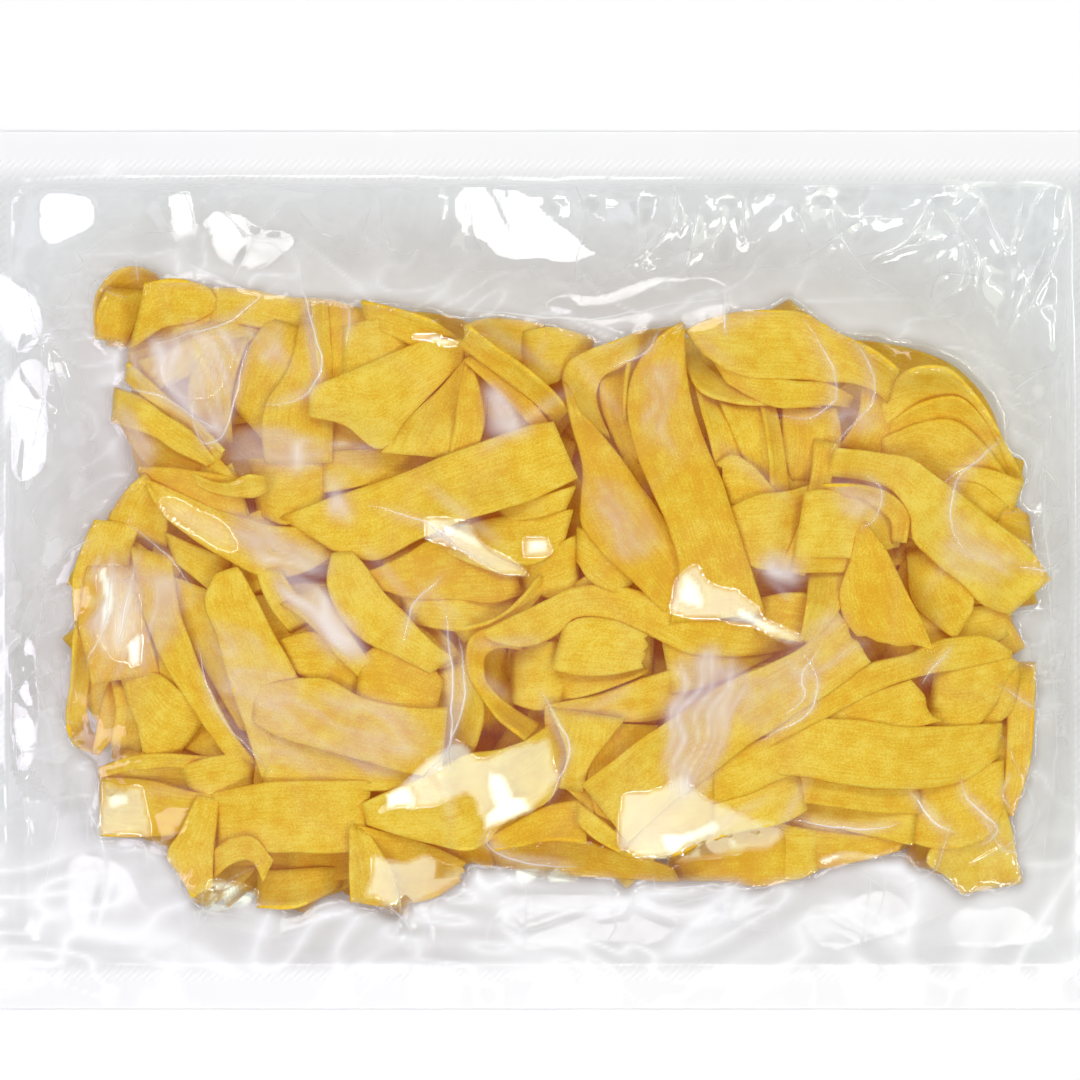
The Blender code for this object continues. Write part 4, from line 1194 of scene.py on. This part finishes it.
def filmShape(heapTop, creases):
    # The upper film: its heights, the slopes and the share of light of what it mirrors, how much white is
    # laid on it as painted highlights, painted light and the whitening of seals and folds, and how much
    # painted sheen and haze.
    grid = HeightGrid(film["gridStep"], pack["halfLength"], pack["halfWidth"])
    x, y = grid.x, grid.y
    below = heapTop.sample(heapTop.z, x, y)
    toSeal = np.minimum(pack["halfLength"] - pocketIn - np.abs(x), pack["halfWidth"] - pocketIn - np.abs(y))
    height = settledFilm(below, toSeal > 0)
    loose = np.clip(toSeal / 4, 0, 1)
    margin = blur((below < 1).astype(float), 12)
    height = height + loose * margin * film["billow"] * (1 + latticeNoise(x, y, film["billowLength"], 4))

    bentX = x + film["sway"] * latticeNoise(x, y, film["swayLength"], 8)
    bentY = y + film["sway"] * latticeNoise(x, y, film["swayLength"], 9)
    wavyX = x + film["wave"] * latticeNoise(x, y, film["waveLength"], 14)
    wavyY = y + film["wave"] * latticeNoise(x, y, film["waveLength"], 15)
    nearSide = np.clip((-y / pack["halfWidth"] - 0.4) / 0.3, 0, 1)
    white = marginPaintedLight(grid, below, margin, nearSide, bentX, bentY)
    for tall, width, whiteningAndHighlight, route in creases:
        distance, where = nearestOnRoute(x, y, route)
        fade = np.sin(math.pi * np.clip(where, 0.02, 0.98)) ** 0.6
        height = height + loose * tall * fade * np.exp(-((distance / width) ** 2))
        # Painted highlight along the crease, together with its whitening.
        ownWhite = np.exp(-((distance / film["widthOfCreaseWhiteningAndHighlight"]) ** 2))
        white = np.maximum(white, film["creaseWhiteningAndHighlight"] * whiteningAndHighlight * fade * ownWhite)

    slope, doubled, facetPaintedGlints = crumple(grid, margin, toSeal, bentX, bentY)
    white = np.maximum(white, facetPaintedGlints)
    slope[1] = slope[1] - film["nearLean"] * margin * nearSide
    rise = np.gradient(height, film["gridStep"])[::-1]
    # Over the heap the film is drawn tight, so only the listed places catch a lamp.
    tight = film["tightness"] * (1 - margin)
    relief = [tight * rise[0], tight * rise[1]]
    share = film["straightShine"] * (0.6 + 0.4 * margin) + doubled
    silk = 0.45 + 0.95 * ridges(bentX + bentY / 3, bentY / 2.5, 6.0, 12, 3)
    paintedSheenAndHaze = film["paintedSheenAndHaze"] * ridges(bentX, bentY, 14.0, 16, 3)
    paintedSheenAndHaze, white = addSheenAndHaze(paintedSheenAndHaze, white, wavyX, wavyY)
    share = faceLamps(grid, share, slope, relief, rise, silk, wavyX, wavyY)

    free = np.clip(-toSeal / pocketIn, 0, 1)
    grid.z = height + 0.15 * free * (1 + latticeNoise(x, y, 9.0, 3)) - 0.2 * free
    white = np.maximum(white, sealWhite(grid, toSeal))
    return grid, np.stack([slope[0] + relief[0], slope[1] + relief[1], share], axis=2), white, paintedSheenAndHaze


def gridFaces(rows, columns):
    index = np.arange(rows * columns).reshape(rows, columns)
    corners = [index[:-1, :-1], index[:-1, 1:], index[1:, 1:], index[1:, :-1]]
    return np.stack(corners, axis=2).reshape(-1, 4).tolist()


def gridMesh(name, grid, material):
    vertices = np.stack([grid.x, grid.y, grid.z], axis=2).reshape(-1, 3)
    return newMesh(name, vertices, gridFaces(*grid.x.shape), material)


def creaseLines(grid, white, creases):
    # A narrow ridge along each crease, painted white as a highlight and for the whitening of the sharp bend.
    points, whiteness, faces = [], [], []
    count = 0
    for _, _, whiteningAndHighlight, route in creases:
        length = sum(math.dist(one, other) for one, other in zip(route, route[1:]))
        path, _ = smoothCurve(route, max(8, int(length / film["lineStep"])))
        t = np.linspace(0, 1, len(path))
        way = np.gradient(path, axis=0)
        side = np.stack([-way[:, 1], way[:, 0]], axis=1) / np.linalg.norm(way, axis=1)[:, None]
        wobble = film["lineWobble"] * latticeNoise(t * length, np.full_like(t, 7.0), 3.0, 19)
        path = path + side * wobble[:, None]
        fade = np.sin(math.pi * np.clip(t, 0.04, 0.96)) ** 0.6
        half = film["lineHalf"] * (0.3 + 0.7 * fade)
        strip = []
        for across, rise in ((1, film["lineEdge"]), (0, film["lineRise"]), (-1, film["lineEdge"])):
            x, y = (path + side * (across * half)[:, None]).T
            strip.append(np.stack([x, y, grid.sample(grid.z, x, y) + film["lineAbove"] + rise], axis=1))
        strip = np.stack(strip, axis=1)
        ownWhite = 1.1 * whiteningAndHighlight * fade[:, None] * [0.35, 1.0, 0.35]
        whiteness.append(np.maximum(ownWhite, grid.sample(white, strip[..., 0], strip[..., 1])).ravel())
        faces += [[corner + count for corner in face] for face in gridFaces(len(path), 3)]
        points.append(strip.reshape(-1, 3))
        count += 3 * len(path)
    return np.concatenate(points), np.concatenate(whiteness), faces


def clearFilmMaterial():
    # Thin glossy polymer film: nearly all light passes, every facet mirrors what it faces, seals and creases
    # are whitened, and painted highlights, painted light and a painted sheen are laid over it as matt white
    # and lavender-grey.
    material = newMaterial("clear packaging film, heat sealed")
    tree = material.node_tree
    facet = readAttribute(tree, "facet", "Vector")
    mirrored = addNode(tree, "ShaderNodeSeparateXYZ", {0: facet}).outputs["Z"]
    slope = vectorMaths(tree, "MULTIPLY", facet, (1.0, 1.0, 0.0))
    flat = addNode(tree, "ShaderNodeNewGeometry").outputs["Normal"]
    normal = vectorMaths(tree, "NORMALIZE", vectorMaths(tree, "ADD", flat, slope))
    facing = addNode(tree, "ShaderNodeLayerWeight", {"Blend": 0.5}).outputs["Facing"]
    grazing = maths(tree, "POWER", facing, 5.0)
    share = maths(tree, "MULTIPLY_ADD", grazing, film["grazingShine"], mirrored, use_clamp=True)

    def shader(kind, sockets):
        return addNode(tree, "ShaderNode" + kind, sockets).outputs[0]

    through = shader("BsdfTransparent", {"Color": linearColour(film["tint"])})
    sharp = shader("BsdfGlossy", {"Roughness": film["roughness"], "Normal": normal})
    hazy = shader("BsdfGlossy", {"Roughness": film["haze"], "Normal": normal})
    shine = shader("MixShader", {0: film["hazeShare"], 1: sharp, 2: hazy})
    clear = shader("MixShader", {0: share, 1: through, 2: shine})
    # Painted sheen and haze: a matt lavender-grey layer in place of a soft reflection.
    lavenderSheenLayer = shader("BsdfDiffuse", {"Color": linearColour(film["sheenAndHazeColour"])})
    hazed = shader("MixShader", {0: readAttribute(tree, "paintedSheenAndHaze", "Fac"), 1: clear, 2: lavenderSheenLayer})
    # White layer: painted highlights and painted light, with the whitening of seals and folds.
    whiteLayer = shader("BsdfDiffuse", {"Color": linearColour(film["colourOfWhiteLayer"])})
    mixed = shader("MixShader", {0: readAttribute(tree, "whiteningAndPaintedLight", "Fac"), 1: hazed, 2: whiteLayer})
    addNode(tree, "ShaderNodeOutputMaterial", {"Surface": mixed})
    return material


print("stage: materials")
eggPasta = eggPastaMaterial()
clearFilm = clearFilmMaterial()

print("stage: ribbons")
ground = HeightGrid(heap["gridStep"], pack["halfLength"], pack["halfWidth"])
corePoints = layCore(ground)
coreObject = newMesh("nest_cores", corePoints.reshape(-1, 3), gridFaces(*corePoints.shape[:2]), eggPasta)
setAttribute(coreObject, "ribbonPlace", corePoints * [1, 1, 0])
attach(coreObject, "root")

# The one ribbon that lies over all the others.
topRibbon = dict(tilt=0.8, lift=0.4,
                 a=[(30, 53), (24.8, 49), (20, 42), (18.8, 36), (20.6, 25.5),
                    (24, 17), (27.7, 8.4), (29.8, 0), (28, -11)],
                 b=[(30.5, 53), (31.2, 41), (34, 29.7), (37.6, 21.2),
                    (40.4, 12.7), (44, 1.3), (47.5, -9)])
draped = {name: [] for name in nests}
for name, nest in nests.items():
    for number, spec in enumerate(windRibbons(nest)):
        draped[name].append(drape(spec, ground, nest["seed"] * 100 + number))
for middle, laid in fillHollows(ground):
    draped[min(nests, key=lambda name: math.dist(middle, nests[name]["centre"]))].append(laid)
for name, nest in nests.items():
    for number, spec in enumerate(nest["ribbons"]):
        draped[name].append(drape(spec, ground, nest["seed"] * 10 + number))
draped["nest_far_right"].append(drape(topRibbon, ground, 777))
print("heap before pressing:", round(float(ground.z.max()), 1), "mm high")
pressHeap(draped, ground)

for name, ribbons in draped.items():
    vertices, places, faces = joinRibbons(ribbons)
    obj = newMesh(name, vertices, faces, eggPasta)
    setAttribute(obj, "ribbonPlace", places)
    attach(obj, "root")
    print(name, len(ribbons), "ribbons,", len(faces), "faces")

print("stage: film")
heapTop = HeightGrid(heap["gridStep"], pack["halfLength"], pack["halfWidth"])
for ribbons in draped.values():
    for points, _ in ribbons:
        layDown(points, heapTop)
smallCreases = seededCreases(np.random.default_rng(film["creaseSeed"]))
filmGrid, facet, whiteningAndPaintedLight, paintedSheenAndHaze = filmShape(heapTop, mainCreases + smallCreases)
topFilm = gridMesh("top_film", filmGrid, clearFilm)
setAttribute(topFilm, "facet", facet)
setAttribute(topFilm, "whiteningAndPaintedLight", whiteningAndPaintedLight)
setAttribute(topFilm, "paintedSheenAndHaze", paintedSheenAndHaze)
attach(topFilm, "root")
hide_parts("sealed_pack")

plainFacet = [0.0, 0.0, film["straightShine"]]
whitened = mainCreases + [crease for crease in smallCreases if crease[0] > film["lineFrom"]]
linePoints, lineWhite, lineFaces = creaseLines(filmGrid, whiteningAndPaintedLight, whitened)
creaseObject = newMesh("film_creases", linePoints, lineFaces, clearFilm)
setAttribute(creaseObject, "facet", [plainFacet] * len(linePoints))
setAttribute(creaseObject, "whiteningAndPaintedLight", lineWhite)
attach(creaseObject, "root")

bottomGrid = HeightGrid(film["underStep"], pack["halfLength"], pack["halfWidth"])
bottomGrid.z = bottomGrid.z + film["underHeight"]
bottomFilm = gridMesh("bottom_film", bottomGrid, clearFilm)
setAttribute(bottomFilm, "facet", [plainFacet] * bottomGrid.z.size)
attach(bottomFilm, "root")

print("stage: table, light and camera")
table = {
    "half": 3000.0,
    "colour": "#F9F9F9",
    "roughness": 0.9,
}
edge = table["half"] * mm
floorMesh = bpy.data.meshes.new("table")
tableCorners = [(-edge, -edge, 0), (edge, -edge, 0), (edge, edge, 0), (-edge, edge, 0)]
floorMesh.from_pydata(tableCorners, [], [(0, 1, 2, 3)])
floor = bpy.data.objects.new("table", floorMesh)
bpy.context.scene.collection.objects.link(floor)
tableTop = newMaterial("white matt board")
surface = addNode(tableTop.node_tree, "ShaderNodeBsdfPrincipled", {
    "Base Color": linearColour(table["colour"]),
    "Roughness": table["roughness"],
})
addNode(tableTop.node_tree, "ShaderNodeOutputMaterial", {"Surface": surface.outputs[0]})
floorMesh.materials.append(tableTop)
floor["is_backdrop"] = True

# A white studio: the upward part of a direction and how bright it is there,
# dimmest straight overhead where the camera hangs.
studio = [(0.25, 0.50), (0.65, 0.28), (0.95, 0.05)]
world = bpy.data.worlds.new("studio")
world.use_nodes = True
worldTree = world.node_tree
direction = addNode(worldTree, "ShaderNodeTexCoord").outputs["Generated"]
upward = addNode(worldTree, "ShaderNodeSeparateXYZ", {0: direction}).outputs["Z"]
walls = colourRamp(worldTree, upward, *[(place, (level, level, level, 1)) for place, level in studio])
worldTree.links.new(walls, worldTree.nodes["Background"].inputs["Color"])
bpy.context.scene.world = world

for name, box in lamps.items():
    width, height = box["size"]
    light = bpy.data.lights.new(name, "AREA")
    light.shape = "RECTANGLE"
    light.size, light.size_y = width, height
    light.energy = box["radiance"] * math.pi * width * height
    light.color = linearColour(box["colour"])[:3]
    lamp = bpy.data.objects.new(name, light)
    lamp.location = box["place"] * mm
    aim = -box["place"]
    tip, turn = math.acos(-aim[2] / np.linalg.norm(aim)), math.atan2(aim[1], aim[0])
    lamp.rotation_euler = (tip, 0, turn - math.pi / 2)
    bpy.context.scene.collection.objects.link(lamp)

lens = bpy.data.cameras.new("camera")
lens.lens = camera["lens"]
lens.sensor_width = camera["sensor"]
viewer = bpy.data.objects.new("camera", lens)
viewer.location = (camera["aside"] * mm, camera["away"] * mm, camera["height"] * mm)
bpy.context.scene.collection.objects.link(viewer)
bpy.context.scene.camera = viewer
bpy.context.scene.view_settings.view_transform = "Standard"

boundsAfter = [list(map(float, corner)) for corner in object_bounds()]
